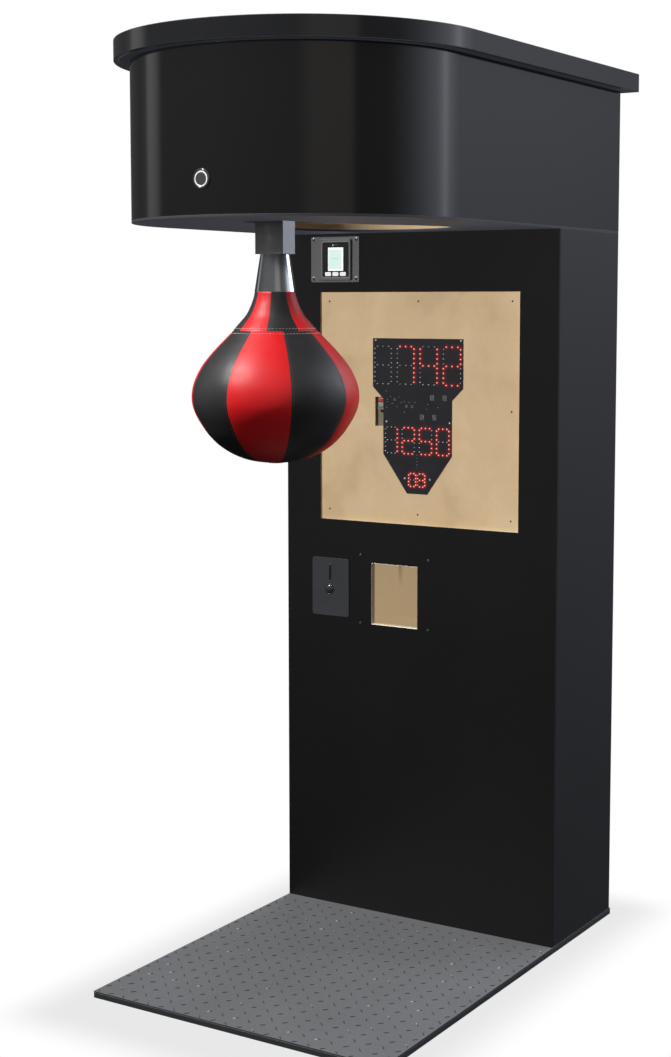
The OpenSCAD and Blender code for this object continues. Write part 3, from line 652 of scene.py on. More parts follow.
def bag_material(name, low, high):
    """Glossy coated vinyl with a fine leather grain."""
    s = Shader(name)
    soft = s.noise(9, 3, 0.5)
    s.color(s.mix(s.map(soft, 0.3, 0.7, 0, 1), low, high))
    s.rough(s.map(s.noise(34, 3, 0.5), 0.3, 0.7, 0.43, 0.50))
    s.set(Specular_IOR_Level=0.44)
    s.bump(s.voronoi(620, "SMOOTH_F1"), 0.00008, 0.3)
    s.bump(s.noise(160, 3, 0.5), 0.00006, 0.25)
    return s.mat


M["bag_red"] = bag_material("bag_red", srgb(226, 22, 28), srgb(236, 28, 34))
M["bag_black"] = bag_material("bag_black", srgb(42, 42, 43), srgb(47, 47, 48))
M["bag_vinyl"] = M["bag_red"]
M["bag_foam"] = surface("bag_foam", srgb(214, 208, 176), 0.9, vary=0.06, grain=500, grain_mm=0.5)
M["thread_white"] = surface("thread_white", srgb(222, 222, 220), 0.7, vary=0.08, vary_scale=300, grain=3000, grain_mm=0.03)
M["thread_grey"] = surface("thread_grey", srgb(112, 108, 108), 0.7, vary=0.08, vary_scale=300, grain=3000, grain_mm=0.03)


def led_material(name, lit):
    s = Shader(name)
    a = s.node("ShaderNodeAttribute", attribute_name="tip")
    t = a.outputs["Fac"]
    if lit:
        s.color(srgb(200, 30, 24))
        s.rough(0.25)
        col = s.ramp(
            t,
            [(0.0, (0.55, 0.008, 0.005)), (0.4, (0.86, 0.03, 0.015)), (0.72, (1.0, 0.20, 0.11)), (1.0, (1.0, 0.56, 0.42))],
        )
        s.link(col, s.bsdf.inputs["Emission Color"])
        s.set(Emission_Strength=1.0)
    else:
        s.color(s.mix(s.noise(400, 2, 0.5), srgb(206, 207, 210), srgb(222, 223, 225)))
        s.rough(0.22)
        s.set(Subsurface_Weight=0.0)
    return s.mat


M["led_lit"] = led_material("led_lit", True)
M["led_unlit"] = led_material("led_unlit", False)
M["led_flange"] = surface("led_flange", srgb(120, 26, 22), 0.3, vary=0.04, grain_mm=0.0)


def ring_glow():
    s = Shader("halo_glow")
    s.color(s.mix(s.noise(80, 2, 0.5), srgb(236, 238, 240), srgb(246, 248, 250)))
    s.rough(0.3)
    s.set(Emission_Strength=0.35, Emission_Color=(1.0, 1.0, 1.0))
    return s.mat


M["halo_plastic"] = ring_glow()


def screen_material():
    """A lit screen, plain and pale."""
    s = Shader("reader_screen")
    s.color(s.mix(s.noise(60, 2, 0.5), srgb(190, 214, 206), srgb(200, 220, 213)))
    s.rough(0.18)
    s.set(Emission_Color=srgb(218, 240, 232), Emission_Strength=0.46)
    return s.mat


def screen_border():
    s = Shader("screen_border")
    s.color(s.mix(s.noise(60, 2, 0.5), srgb(226, 230, 229), srgb(232, 236, 235)))
    s.rough(0.18)
    s.set(Emission_Color=(1.0, 1.0, 1.0), Emission_Strength=0.5)
    return s.mat


# The reader's tiles are no lamps: their faint glow is painted light. The small status lamp uses the same material.
def lit_tile():
    s = Shader("reader_tile")
    s.color(s.mix(s.noise(90, 2, 0.5), srgb(238, 238, 239), srgb(246, 246, 247)))
    s.rough(0.3)
    s.set(Emission_Color=(1.0, 1.0, 1.0), Emission_Strength=0.22)
    return s.mat


def board_material():
    """Dark circuit board; the attribute glow carries the lamps' red light on it, painted into its emission."""
    s = Shader("score_board")
    s.color(s.mix(s.map(s.noise(20, 3, 0.5), 0.3, 0.7, 0, 1), srgb(36, 36, 40), srgb(41, 41, 46)))
    s.rough(0.36)
    s.bump(s.noise(2500, 3, 0.6), 0.000004, 0.6)
    g = s.node("ShaderNodeAttribute", attribute_name="glow").outputs["Fac"]
    s.link(s.ramp(g, [(0.0, (0.0, 0.0, 0.0)), (0.5, (0.11, 0.004, 0.004)), (1.0, (0.42, 0.016, 0.013))]), s.bsdf.inputs["Emission Color"])
    s.set(Emission_Strength=1.0)
    return s.mat


M["reader_screen"] = screen_material()
M["screen_border"] = screen_border()
M["reader_tile"] = lit_tile()
M["score_board"] = board_material()

for n, o in NODES.items():
    o.data.materials[0] = M[SLOT[n]]
for packed in [m for m in bpy.data.materials if m.name.startswith("packed_")]:
    bpy.data.materials.remove(packed)


def dress(obj, *names):
    """Gives obj its materials; faces keep the index they have."""
    index = [p.material_index for p in obj.data.polygons]
    obj.data.materials.clear()
    for n in names:
        obj.data.materials.append(M[n])
    obj.data.polygons.foreach_set("material_index", [min(i, len(names) - 1) for i in index])
    return obj


# ------------------------------------------------------------------ eased CAD pieces
for node, width in {
    "base_board": 0.8, "side_panel_left": 0.7, "side_panel_right": 0.7, "front_skin": 0.5,
    "head_shell": 0.8, "top_cap": 1.2, "head_bottom_skin": 0.5, "head_back_panel": 0.5,
    "rear_panel_upper": 0.5, "rear_rail_lower": 0.5, "rear_door": 0.6, "arm_tube": 1.2,
    "bearing_blocks": 0.6, "coin_plate": 0.35, "reader_bracket": 0.4, "reader_body": 0.8,
    "cash_box": 0.8, "power_supply": 0.8, "power_inlet": 0.4, "power_switch": 0.4,
    "coin_validator": 0.5, "speed_sensor": 0.4, "latch_solenoid": 0.6, "head_frame": 0.8,
    "control_board": 0.15, "coin_chute": 0.4, "front_board": 0.3, "prize_bay": 0.3,
    "door_hinges_fixed": 0.25, "door_hinges_moving": 0.25, "door_lock_body": 0.3, "door_lock_cam": 0.3,
    "top_board": 0.4, "head_bottom_board": 0.3, "start_button_body": 0.35, "start_button_ring": 0.25, "start_button_cap": 0.5,
}.items():
    dress(refine(node, width * MM), SLOT[node])


def finish_faces(node, names, choose):
    """Gives each face of the eased node the material that choose(centre, normal) points to."""
    o = bpy.data.objects["eased_" + node]
    me = o.data
    me.polygons.foreach_set("material_index", [choose(f.center, f.normal) for f in me.polygons])
    dress(o, *names)


HALF_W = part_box("front_skin")[1].x
finish_faces(
    "front_skin", ("front_laminate", "cut_board"),
    lambda c, n: 1 if abs(n.y) < 0.5 and abs(c.x) < HALF_W - 0.004 and c.z > 0.4 else 0,
)
finish_faces("top_board", ("plywood", "head_underside"), lambda c, n: 1 if n.z < -0.3 else 0)
CAP_Z0, CAP_Z1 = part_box("top_cap")[0].z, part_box("top_cap")[1].z
# The bevel faces on the cap's top and bottom edges take the lighter edge tone: painted highlight.
finish_faces(
    "top_cap", ("cap_plastic", "edge_trim"),
    lambda c, n: 1 if 0.2 < abs(n.z) < 0.97 and (c.z < CAP_Z0 + 0.003 or c.z > CAP_Z1 - 0.003) else 0,
)
HEAD_Z0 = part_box("head_shell")[0].z
# The head's lower edge bevel takes the same painted highlight.
finish_faces(
    "head_shell", ("head_laminate", "edge_trim"),
    lambda c, n: 1 if -0.97 < n.z < -0.2 and c.z < HEAD_Z0 + 0.003 else 0,
)
# The reader body's side faces take the darker grey: painted shade.
finish_faces("reader_body", ("reader_grey", "reader_side"), lambda c, n: 1 if abs(n.y) < 0.4 else 0)
finish_faces("start_button_body", ("bezel_dark", "bezel_chrome"), lambda c, n: 1 if 0.3 < -n.y < 0.93 else 0)


def in_bay(c):
    lo, hi = P(-123, -1, 715), P(4, 134.5, 863.5)
    return all(lo[i] <= c[i] <= hi[i] for i in range(3))


finish_faces("prize_bay", ("bay_board", "plywood"), lambda c, n: 0 if in_bay(c) else 1)
# Painted shade: the tube's side faces take the darker copy of its paint.
finish_faces("arm_tube", ("arm_paint", "arm_side"), lambda c, n: 1 if abs(n.x) > 0.8 else 0)


# Faces inside the cable notch take the darker notch tones, painted shade; the wall facing right takes the darkest.
def notch_faces(c, n):
    if in_bay(c) and abs(n.y) < 0.5:
        return 3
    if not (P(-115.9, 0, 0).x < c.x < P(-83.5, 0, 0).x and P(0, 0, 1188.5).z < c.z < P(0, 0, 1258).z):
        return 0
    if c.y < P(0, 6.4, 0).y:
        return 0
    return 2 if n.x > 0.5 else 1


finish_faces("front_board", ("plywood", "notch_board", "notch_dark", "bay_board"), notch_faces)


# ------------------------------------------------------------------ what the CAD nodes hold
def islands(node):
    """(lowest corner, highest corner) of each separate solid of a node."""
    bm = bmesh.new()
    bm.from_mesh(NODES[node].data)
    bmesh.ops.remove_doubles(bm, verts=bm.verts, dist=2e-6)
    seen, out = set(), []
    for v in bm.verts:
        if v.index in seen:
            continue
        stack, lo, hi = [v], v.co.copy(), v.co.copy()
        seen.add(v.index)
        while stack:
            q = stack.pop()
            for i in range(3):
                lo[i] = min(lo[i], q.co[i])
                hi[i] = max(hi[i], q.co[i])
            for e in q.link_edges:
                w = e.other_vert(q)
                if w.index not in seen:
                    seen.add(w.index)
                    stack.append(w)
        out.append((lo, hi))
    bm.free()
    return sorted(out, key=lambda b: (round(b[0].x, 5), round(b[0].z, 5)))


# ------------------------------------------------------------------ tread plate
def tread_plate():
    """The plate with its raised lozenges, which lie at +45 and -45 degrees by turns."""
    lo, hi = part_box("tread_plate")
    b = Builder()
    b.box(lo, hi)
    plate = b.object("plate", bevel=0.0005)
    pitch, tall = 0.0334, 0.0012
    rnd = random.Random(11)
    z = hi.z
    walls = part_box("side_panel_left")[0].x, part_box("side_panel_right")[1].x
    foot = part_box("front_skin")[0].y
    b = Builder()
    cols = int((hi.x - lo.x) / pitch) + 1
    rows = int((hi.y - lo.y) / pitch) + 1
    across = [(-1.0, 0.0), (-0.86, 0.8), (-0.6, 1.0), (0.6, 1.0), (0.86, 0.8), (1.0, 0.0)]
    for j in range(rows):
        for i in range(cols):
            cx = lo.x + 0.0096 + i * pitch + rnd.uniform(-0.0006, 0.0006)
            cy = lo.y + 0.0062 + j * pitch + rnd.uniform(-0.0006, 0.0006)
            if cy > foot - 0.012:
                continue
            back = (i + j) % 2 == 0
            angle = math.radians((-47 if back else 45) + rnd.uniform(-4, 4))
            length = (0.0086 if back else 0.0064) * rnd.uniform(0.9, 1.08)
            width = 0.0010 if back else 0.0013
            ca, sa = math.cos(angle), math.sin(angle)
            verts, faces = [], []
            steps = 10
            for k in range(steps + 1):
                u = -1 + 2 * k / steps
                w = width * max(0.02, (1 - abs(u) ** 2.2)) ** 0.8
                h = tall * max(0.0, 1 - abs(u) ** 5) ** 0.5
                for side, up in across:
                    x, y = u * length, side * w
                    px, py = cx + x * ca - y * sa, cy + x * sa + y * ca
                    px = min(max(px, lo.x + 0.0008), hi.x - 0.0008)
                    py = max(py, lo.y + 0.0008)
                    verts.append((px, py, z - 0.00015 + (h + 0.00015) * up))
            n = len(across)
            for k in range(steps):
                for c in range(n - 1):
                    a = k * n + c
                    faces.append((a, a + n, a + n + 1, a + 1))
                faces.append((k * n + n - 1, k * n + 2 * n - 1, (k + 1) * n, k * n))
            faces.append(tuple(range(n)))
            faces.append(tuple(reversed(range(steps * n, steps * n + n))))
            b.add(verts, faces)
            if rnd.random() < 0.12:  # worn bright by shoes at one end, partly painted glint
                for f in range(len(b.f) - len(faces), len(b.f) - 2):
                    if (f - (len(b.f) - len(faces))) // n < 5:
                        b.m[f] = 1
    plate.data.materials.append(M["tread_steel"])
    # The studs are dark all over: painted shade for their shadowed sides.
    studs = b.object("studs", sharp_deg=70)
    studs.data.materials.append(M["tread_stud"])
    studs.data.materials.append(M["tread_worn"])
    o = join("tread_plate_rolled", [plate, studs])
    dress(o, "tread_steel", "tread_stud", "tread_worn")
    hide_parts("tread_plate")
    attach(o, "cabinet")
    return o


tread_plate()


# ------------------------------------------------------------------ punch bag
BAG_MM = [
    (41, 1499), (43.5, 1488), (48.3, 1474), (58.3, 1453), (74.9, 1433), (93.4, 1412), (113, 1392),
    (131.4, 1372), (147, 1352), (158.5, 1332), (166.5, 1312), (170, 1292), (169, 1272), (162.5, 1252),
    (151.5, 1232), (136.5, 1210), (116, 1189), (90, 1171.5), (60, 1159.5), (30, 1153.6), (0, 1152),
]
BAG_AXIS = Vector((0, -0.3245, 0))
COLLAR_Z = 1421.5


def smooth_profile(points, per=12):
    """A Catmull-Rom curve through the points, with its running length."""
    pts = [points[0]] + list(points) + [(-points[-2][0], points[-2][1])]
    out = []
    for i in range(1, len(pts) - 2):
        for k in range(per):
            t = k / per
            q = []
            for c in range(2):
                p0, p1, p2, p3 = (pts[i + d][c] for d in (-1, 0, 1, 2))
                q.append(
                    0.5
                    * (
                        2 * p1
                        + (p2 - p0) * t
                        + (2 * p0 - 5 * p1 + 4 * p2 - p3) * t * t
                        + (3 * p1 - p0 - 3 * p2 + p3) * t**3
                    )
                )
            out.append((max(q[0], 0.0), q[1]))
    out.append(points[-1])
    s, run = 0.0, [0.0]
    for a, c in zip(out, out[1:]):
        s += math.hypot(c[0] - a[0], c[1] - a[1])
        run.append(s)
    return out, run


PROFILE, RUN = smooth_profile(BAG_MM)


def profile_at(s):
    """(radius, height, slope normal) in mm at the running length s."""
    s = min(max(s, 0.0), RUN[-1])
    lo, hi = 0, len(RUN) - 1
    while hi - lo > 1:
        mid = (lo + hi) // 2
        if RUN[mid] <= s:
            lo = mid
        else:
            hi = mid
    t = (s - RUN[lo]) / max(RUN[hi] - RUN[lo], 1e-9)
    a, b = PROFILE[lo], PROFILE[hi]
    r, z = a[0] + (b[0] - a[0]) * t, a[1] + (b[1] - a[1]) * t
    i0, i1 = max(lo - 3, 0), min(hi + 3, len(PROFILE) - 1)
    dr, dz = PROFILE[i1][0] - PROFILE[i0][0], PROFILE[i1][1] - PROFILE[i0][1]
    length = math.hypot(dr, dz)
    return r, z, (-dz / length, dr / length)


COLLAR_S = next(RUN[i] for i in range(len(RUN)) if PROFILE[i][1] <= COLLAR_Z)
BODY_PITCH, NECK_PITCH = 4.4, 6.9
ROWS = (-6.0, 7.2)


def seam_gap(theta, first):
    """Angle to the nearest seam, in radians; seams stand 45 degrees apart from first."""
    q = math.radians(45)
    d = (theta - first) % q
    return min(d, q - d)


def bag_point(theta, s):
    """A point of the cover: theta runs from the front towards the right, s down the profile in mm."""
    r, z, (nr, nz) = profile_at(s)
    below = s - COLLAR_S
    first = 0.0 if below > 0 else math.radians(22.5)
    d = max(r, 2) * seam_gap(theta, first)
    width = max(r, 2) * math.radians(22.5)
    room = min(1.0, width / 26)
    out = (-0.40 if below > 0 else -0.12) * math.exp(-((d / 1.3) ** 2)) * min(1.0, abs(below) / 3 + 0.2)
    out += 0.55 * room * (1 - math.exp(-((d / 12) ** 2))) * min(1, max(r - 18, 0) / 40)
    out -= 0.5 * math.exp(-((below / 1.3) ** 2))
    out -= 0.4 * (1 - min(1, abs(below) / 14)) ** 2 * room
    for row in ROWS:
        out -= 0.10 * math.exp(-(((below - row) / 1.2) ** 2))
    run = s / BODY_PITCH
    out -= 0.10 * math.exp(-(((d - 4.2) / 1.3) ** 2)) * (0.55 + 0.45 * math.cos(2 * math.pi * run)) * min(1, abs(below) / 8)
    gather = max(0.0, 1 - s / 34)
    out += 0.55 * gather * math.cos(13 * theta + 0.7) * (0.7 + 0.3 * math.cos(5 * theta))
    here = Vector((math.sin(theta) * r, -math.cos(theta) * r, z)) * MM
    out += 0.35 * noise.noise(here * 11 + Vector((3.1, 0.4, 7.7))) * min(1, r / 60)
    out += 0.05 * noise.noise(here * 42) * min(1, r / 60)
    rr = max(r + nr * out, 0)
    return BAG_AXIS + Vector((math.sin(theta) * rr, -math.cos(theta) * rr, z + nz * out)) * MM


def bag_frame(theta, s):
    """Point, outward normal, sideways and downward directions of the cover."""
    p = bag_point(theta, s)
    r = max(profile_at(s)[0], 4)
    du = (bag_point(theta + 1.2 / r, s) - bag_point(theta - 1.2 / r, s)).normalized()
    dv = (bag_point(theta, s + 1.2) - bag_point(theta, s - 1.2)).normalized()
    return p, dv.cross(du).normalized() * -1, du, dv


def punch_bag():
    offs = [0, 0.45, 0.9, 1.5, 2.3, 3.4, 5.0, 7.2, 10.0, 12.5]
    offs = offs + [22.5 - o for o in reversed(offs[:-1])]
    offs = sorted(set(offs))
    thetas = []
    for k in range(16):
        thetas += [math.radians(k * 22.5 + o) for o in offs[:-1]]
    rows, s = [], 0.0
    marks = sorted(COLLAR_S + o for o in (-8, -6.8, -6, -5.2, -4, -2.4, -1.2, -0.6, 0, 0.6, 1.2, 2.4, 4, 6.2, 7.2, 8.2, 9.4))
    end = RUN[-1] - 5.0
    while s < end:
        if not marks[0] - 2 < s < marks[-1] + 2:
            rows.append(s)
        s += 3.4 if s < marks[0] else 4.4
    rows = sorted(set(rows + marks + [end]))
    n = len(thetas)
    verts, faces, mats = [], [], []
    for r in (13.0, 37.0, 40.2):
        verts += [BAG_AXIS + Vector((math.sin(t) * r, -math.cos(t) * r, 1499.2)) * MM for t in thetas]
    for s in rows:
        verts += [bag_point(t, s) for t in thetas]
    total = 3 + len(rows)
    for i in range(total - 1):
        low = i >= 3 and (rows[i - 3] + rows[i - 2]) / 2 > COLLAR_S
        for j in range(n):
            k = (j + 1) % n
            faces.append((i * n + j, (i + 1) * n + j, (i + 1) * n + k, i * n + k))
            mid = (thetas[j] + (thetas[k] if k else thetas[k] + 2 * math.pi)) / 2
            turn = math.degrees(mid)
            gore = int(turn // 45) % 2 if low else int((turn + 22.5) // 45) % 2
            mats.append(gore)
    faces.append(tuple((total - 1) * n + j for j in range(n)))
    mats.append(1)
    faces.append(tuple(reversed(range(n))))
    mats.append(1)
    me = mesh_from("bag", verts, faces, True, 180, mats)
    cover = new_object("punch_bag_cover", me)
    dress(cover, "bag_red", "bag_black")
    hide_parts("bag_cover")
    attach(cover, "bag_arm")
    bpy.context.view_layer.update()

    # thread
    b = Builder()

    def stitch(p0, p1, n0, rad, mat):
        d = p1 - p0
        side = d.cross(n0).normalized()
        verts, faces = [], []
        pts = [(0.0, -1.2), (0.1, 0.25), (0.5, 0.5), (0.9, 0.25), (1.0, -1.2)]
        for t, lift in pts:
            c = p0 + d * t + n0 * (lift * rad)
            for q in range(5):
                a = 2 * math.pi * q / 5
                verts.append(c + side * (math.cos(a) * rad) + n0 * (math.sin(a) * rad * 0.8))
        for i in range(len(pts) - 1):
            for q in range(5):
                w = (q + 1) % 5
                faces.append((i * 5 + q, i * 5 + w, (i + 1) * 5 + w, (i + 1) * 5 + q))
        faces.append(tuple(reversed(range(5))))
        faces.append(tuple((len(pts) - 1) * 5 + q for q in range(5)))
        b.add(verts, faces, mat)

    for row in ROWS:
        s = COLLAR_S + row
        r = profile_at(s)[0]
        count = int(2 * math.pi * r / NECK_PITCH)
        for i in range(count):
            t0 = 2 * math.pi * i / count
            t1 = t0 + 2 * math.pi / count * 0.56
            p0, n0, _, _ = bag_frame(t0, s)
            p1, n1, _, _ = bag_frame(t1, s)
            stitch(p0, p1, ((n0 + n1) / 2).normalized(), 0.0005, 0)
    for k in range(8):
        seam = math.radians(45 * k)
        right_black = k % 2 == 1  # the gore on the right of this seam is black
        s = COLLAR_S + 11
        while s < RUN[-1] - 26:
            r = profile_at(s)[0]
            off = min(4.2, r * math.radians(22.5) * 0.4) / r
            t = seam + (off if right_black else -off)
            r2 = profile_at(s + BODY_PITCH * 0.64)[0]
            off2 = min(4.2, r2 * math.radians(22.5) * 0.4) / r2
            t2 = seam + (off2 if right_black else -off2)
            p0, n0, _, _ = bag_frame(t, s)
            p1, n1, _, _ = bag_frame(t2, s + BODY_PITCH * 0.64)
            stitch(p0, p1, ((n0 + n1) / 2).normalized(), 0.0003, 1)
            s += BODY_PITCH
    # ring of stitches on the small round patch under the bag
    for i in range(22):
        a0, a1 = 2 * math.pi * i / 22, 2 * math.pi * (i + 0.62) / 22
        q = [BAG_AXIS + Vector((math.sin(a) * 0.0148, -math.cos(a) * 0.0148, 1.15135)) for a in (a0, a1)]
        stitch(q[0], q[1], Vector((0, 0, -1)), 0.0003, 1)
    thread = b.object("punch_bag_thread", sharp_deg=180)
    dress(thread, "thread_white", "thread_grey")
    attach(thread, "bag_arm")

    # round patch where the gores meet
    rings = [(0.0, 1150.9), (6, 1150.95), (13, 1151.2), (17.2, 1151.7), (18.4, 1152.4), (18.0, 1153.4), (15.0, 1153.9)]
    v, f = lathe([(r * MM, z * MM) for r, z in reversed(rings[1:])], 48, BAG_AXIS.copy())
    b = Builder()
    b.add(v, f)
    patch = b.object("punch_bag_patch", sharp_deg=80)
    dress(patch, "bag_black")
    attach(patch, "bag_arm")


punch_bag()


# ------------------------------------------------------------------ screws and bolts
def cross_head(radius, height, dome=0.35, arm=0.62, slot_w=0.16, depth=0.55):
    """Verts and faces of a screw head with a cross recess; the head's seat is at 0 and it rises to height."""
    me = bpy.data.meshes.new("head")
    rings = [(radius * 0.96, 0.0), (radius, height * 0.18), (radius * 0.96, height * 0.5)]
    for k in range(1, 6):
        a = k / 5 * math.pi / 2
        rings.append((radius * (0.96 * math.cos(a) * 0.9 + 0.0) + 1e-6, height * (0.5 + 0.5 * math.sin(a))))
    v, f = lathe(rings, 28, Vector((0, 0, 0)))
    me.from_pydata([tuple(p) for p in v], [], f)
    o = new_object("head_tmp", me)
    cutters = []
    for turn in (0, math.pi / 2):
        bv, bf = box_mesh((-radius * arm, -radius * slot_w, height * (1 - depth)), (radius * arm, radius * slot_w, height * 2))
        cm = bpy.data.meshes.new("cut")
        cm.from_pydata([tuple(Matrix.Rotation(turn, 3, "Z") @ Vector(p)) for p in bv], [], bf)
        c = new_object("cut", cm)
        cutters.append(c)
        mod = o.modifiers.new("cut", "BOOLEAN")
        mod.operation = "DIFFERENCE"
        mod.solver = "EXACT"
        mod.object = c
    bake(o)
    verts = [v.co.copy() for v in o.data.vertices]
    faces = [tuple(p.vertices) for p in o.data.polygons]
    for x in [o] + cutters:
        d = x.data
        bpy.data.objects.remove(x)
        bpy.data.meshes.remove(d)
    return verts, faces


FORWARD = Matrix(((1, 0, 0), (0, 0, -1), (0, 1, 0)))  # turns +Z into -Y


def screws():
    b = Builder()
    rnd = random.Random(7)

    def put(shape, x, y, z, mat):
        m = Matrix.Translation(P(x, y, z)) @ FORWARD.to_4x4() @ Matrix.Rotation(rnd.uniform(0, math.pi), 4, "Z")
        b.add(shape[0], shape[1], mat, m)

    reader_head = cross_head(0.0042, 0.0021)
    bay_head = cross_head(0.0031, 0.0014)
    pcb_head = cross_head(0.0022, 0.0014)
    for x in (-281, -162):
        for z in (1533.5, 1625):
            put(reader_head, x, -3.5, z, 0)
            v, f = lathe([(0.0058, -0.0003), (0.0058, 0.0004), (0.0053, 0.0007), (0.0044, 0.0007)], 32, P(x, -3.5, z), axis="-Y")
            b.add(v, f, 4)
    for x in (-153, 33):
        for z in (716, 880):
            put(bay_head, x, 0, z, 3)
    for x, z in ((-112.4, 1389.8), (114.5, 1389.8), (-82.5, 1200), (86, 1201.5), (-32.5, 1068.5), (34.7, 1068.5)):
        put(pcb_head, x, 3, z, 1)
    # hex bolts with washers on the bearing blocks
    for sx in (-75, 75):
        for dy in (-38, 38):
            base = P(sx, -576 + dy, 1657 + 13)
            v, f = lathe([(0.0095, 0), (0.0095, 0.0012), (0.0088, 0.0016)], 36, base)
            b.add(v, f, 2)
            rings = [(0.0080, 0.0016), (0.0080, 0.0061), (0.0074, 0.0068), (0.0062, 0.0069)]
            v, f = lathe(rings, 6, base)
            b.add(v, f, 2)
            v, f = lathe([(0.004, -0.013), (0.004, 0.001)], 20, base)
            b.add(v, f, 2)
    o = b.object("panel_fasteners", sharp_deg=32)
    dress(o, "screw_black", "screw_white", "screw_zinc", "screw_grey", "reader_rim")
    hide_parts("panel_screws")
    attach(o, "cabinet")


screws()


# ------------------------------------------------------------------ score display
def rounded_outline(x0, z0, x1, z1, r, steps=6):
    """Points of a rounded rectangle in mm, as seen from the front, running anticlockwise."""
    pts = []
    for cx, cz, a0 in ((x1 - r, z1 - r, 0), (x0 + r, z1 - r, 90), (x0 + r, z0 + r, 180), (x1 - r, z0 + r, 270)):
        for k in range(steps + 1):
            a = math.radians(a0 + 90 * k / steps)
            pts.append((cx + r * math.cos(a), cz + r * math.sin(a)))
    return pts


def front_plate(b, outline, y_back, y_front, mat=0, ease=0.25, hole=None):
    """A plate on the front: outline in mm, eased front edge; hole is an inner outline of as many points."""
    n = len(outline)
    cx = sum(p[0] for p in outline) / n
    cz = sum(p[1] for p in outline) / n

    def inset(pts, d):
        out = []
        for x, z in pts:
            length = math.hypot(x - cx, z - cz)
            k = 1 - d / max(length, 1e-6)
            out.append((cx + (x - cx) * k, cz + (z - cz) * k))
        return out

    loops = [(outline, y_back), (outline, y_front + ease), (inset(outline, ease), y_front)]
    if hole:
        loops += [(inset(hole, -ease), y_front), (hole, y_front + ease), (hole, y_back)]
    verts, faces = [], []
    for pts, y in loops:
        verts += [P(x, y, z) for x, z in pts]
    for i in range(len(loops) - 1):
        for k in range(n):
            m = (k + 1) % n
            faces.append((i * n + k, i * n + m, (i + 1) * n + m, (i + 1) * n + k))
    if hole:
        i = len(loops) - 1
        for k in range(n):
            m = (k + 1) % n
            faces.append((i * n + k, i * n + m, m, k))
    else:
        faces.append(tuple(range((len(loops) - 1) * n, len(loops) * n)))
        faces.append(tuple(reversed(range(n))))
    b.add(verts, faces, mat)


BOARD_OUTLINE = [(1394.8, 120.3), (1281.2, 120.3), (1253.2, 91.5), (1124.6, 91.5), (1033.7, 27.0)]


def score_board():
    """The circuit board as a fine grid, so that the red light round each lit lamp can be painted on it as glow."""
    step = 2.1
    zs = []
    for (za, _), (zb, _) in zip(BOARD_OUTLINE, BOARD_OUTLINE[1:]):
        n = max(1, round((za - zb) / step))
        zs += [za + (zb - za) * k / n for k in range(n)]
    zs.append(BOARD_OUTLINE[-1][0])

    def half(z):
        for (za, wa), (zb, wb) in zip(BOARD_OUTLINE, BOARD_OUTLINE[1:]):
            if zb <= z <= za:
                return wa + (wb - wa) * (za - z) / (za - zb)
        return BOARD_OUTLINE[-1][1]

    cols = 110
    lamps = [((lo.x + hi.x) / 2 / MM, (lo.z + hi.z) / 2 / MM) for lo, hi in islands("display_leds_lit")]
    verts, glow = [], []
    for z in zs:
        w = half(z)
        for i in range(cols + 1):
            x = w * (2 * i / cols - 1)
            verts.append(P(x, 3.0, z))
            g = 0.0
            for lx, lz in lamps:
                d2 = (lx - x) ** 2 + (lz - z) ** 2
                if d2 < 196:
                    g += 0.85 * math.exp(-d2 / 13) + 0.03 * math.exp(-d2 / 60)
            glow.append(min(1.0, g))
    rows, n = len(zs), cols + 1
    faces = []
    for j in range(rows - 1):
        for i in range(cols):
            a = j * n + i
            faces.append((a, a + n, a + n + 1, a + 1))
    rim = [i for i in range(n)] + [j * n + cols for j in range(1, rows)]
    rim += [(rows - 1) * n + i for i in range(cols - 1, -1, -1)] + [j * n for j in range(rows - 2, 0, -1)]
    start = len(verts)
    for q in rim:
        verts.append(verts[q] + Vector((0, 0.0016, 0)))
        glow.append(0.0)
    m = len(rim)
    for k in range(m):
        c = (k + 1) % m
        faces.append((rim[k], rim[c], start + c, start + k))
    faces.append(tuple(start + k for k in range(m)))
    o = new_object("score_board", mesh_from("score_board", verts, faces, True, 35))
    a = o.data.attributes.new("glow", "FLOAT", "POINT")
    a.data.foreach_set("value", glow)
    dress(o, "score_board")
    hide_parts("display_board")
    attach(o, "cabinet")


score_board()


def led_lamps(node, name, mat, size=1.0):
    b = Builder()
    tips = []
    rings = [(1.9, 0.0), (1.9, 0.55), (1.72, 0.7), (1.72, 1.4), (1.62, 1.95), (1.34, 2.45), (0.88, 2.8), (0.32, 2.97)]
    rings = [(r * size, h) for r, h in rings]
    for lo, hi in islands(node):
        c = Vector(((lo.x + hi.x) / 2, hi.y, (lo.z + hi.z) / 2))
        v, f = lathe([(r * MM, h * MM) for r, h in rings], 16, c, axis="-Y")
        b.add(v, f)
        for r, h in rings:
            tips += [max(0.0, min(1.0, (h - 0.6) / 2.3))] * 16
    o = b.object(name, sharp_deg=50)
    a = o.data.attributes.new("tip", "FLOAT", "POINT")
    a.data.foreach_set("value", tips)
    dress(o, mat)
    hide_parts(node)
    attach(o, "cabinet")
    return o


led_lamps("display_leds_lit", "score_lamps_lit", "led_lit")
led_lamps("display_leds_unlit", "score_lamps_unlit", "led_unlit", 0.68)


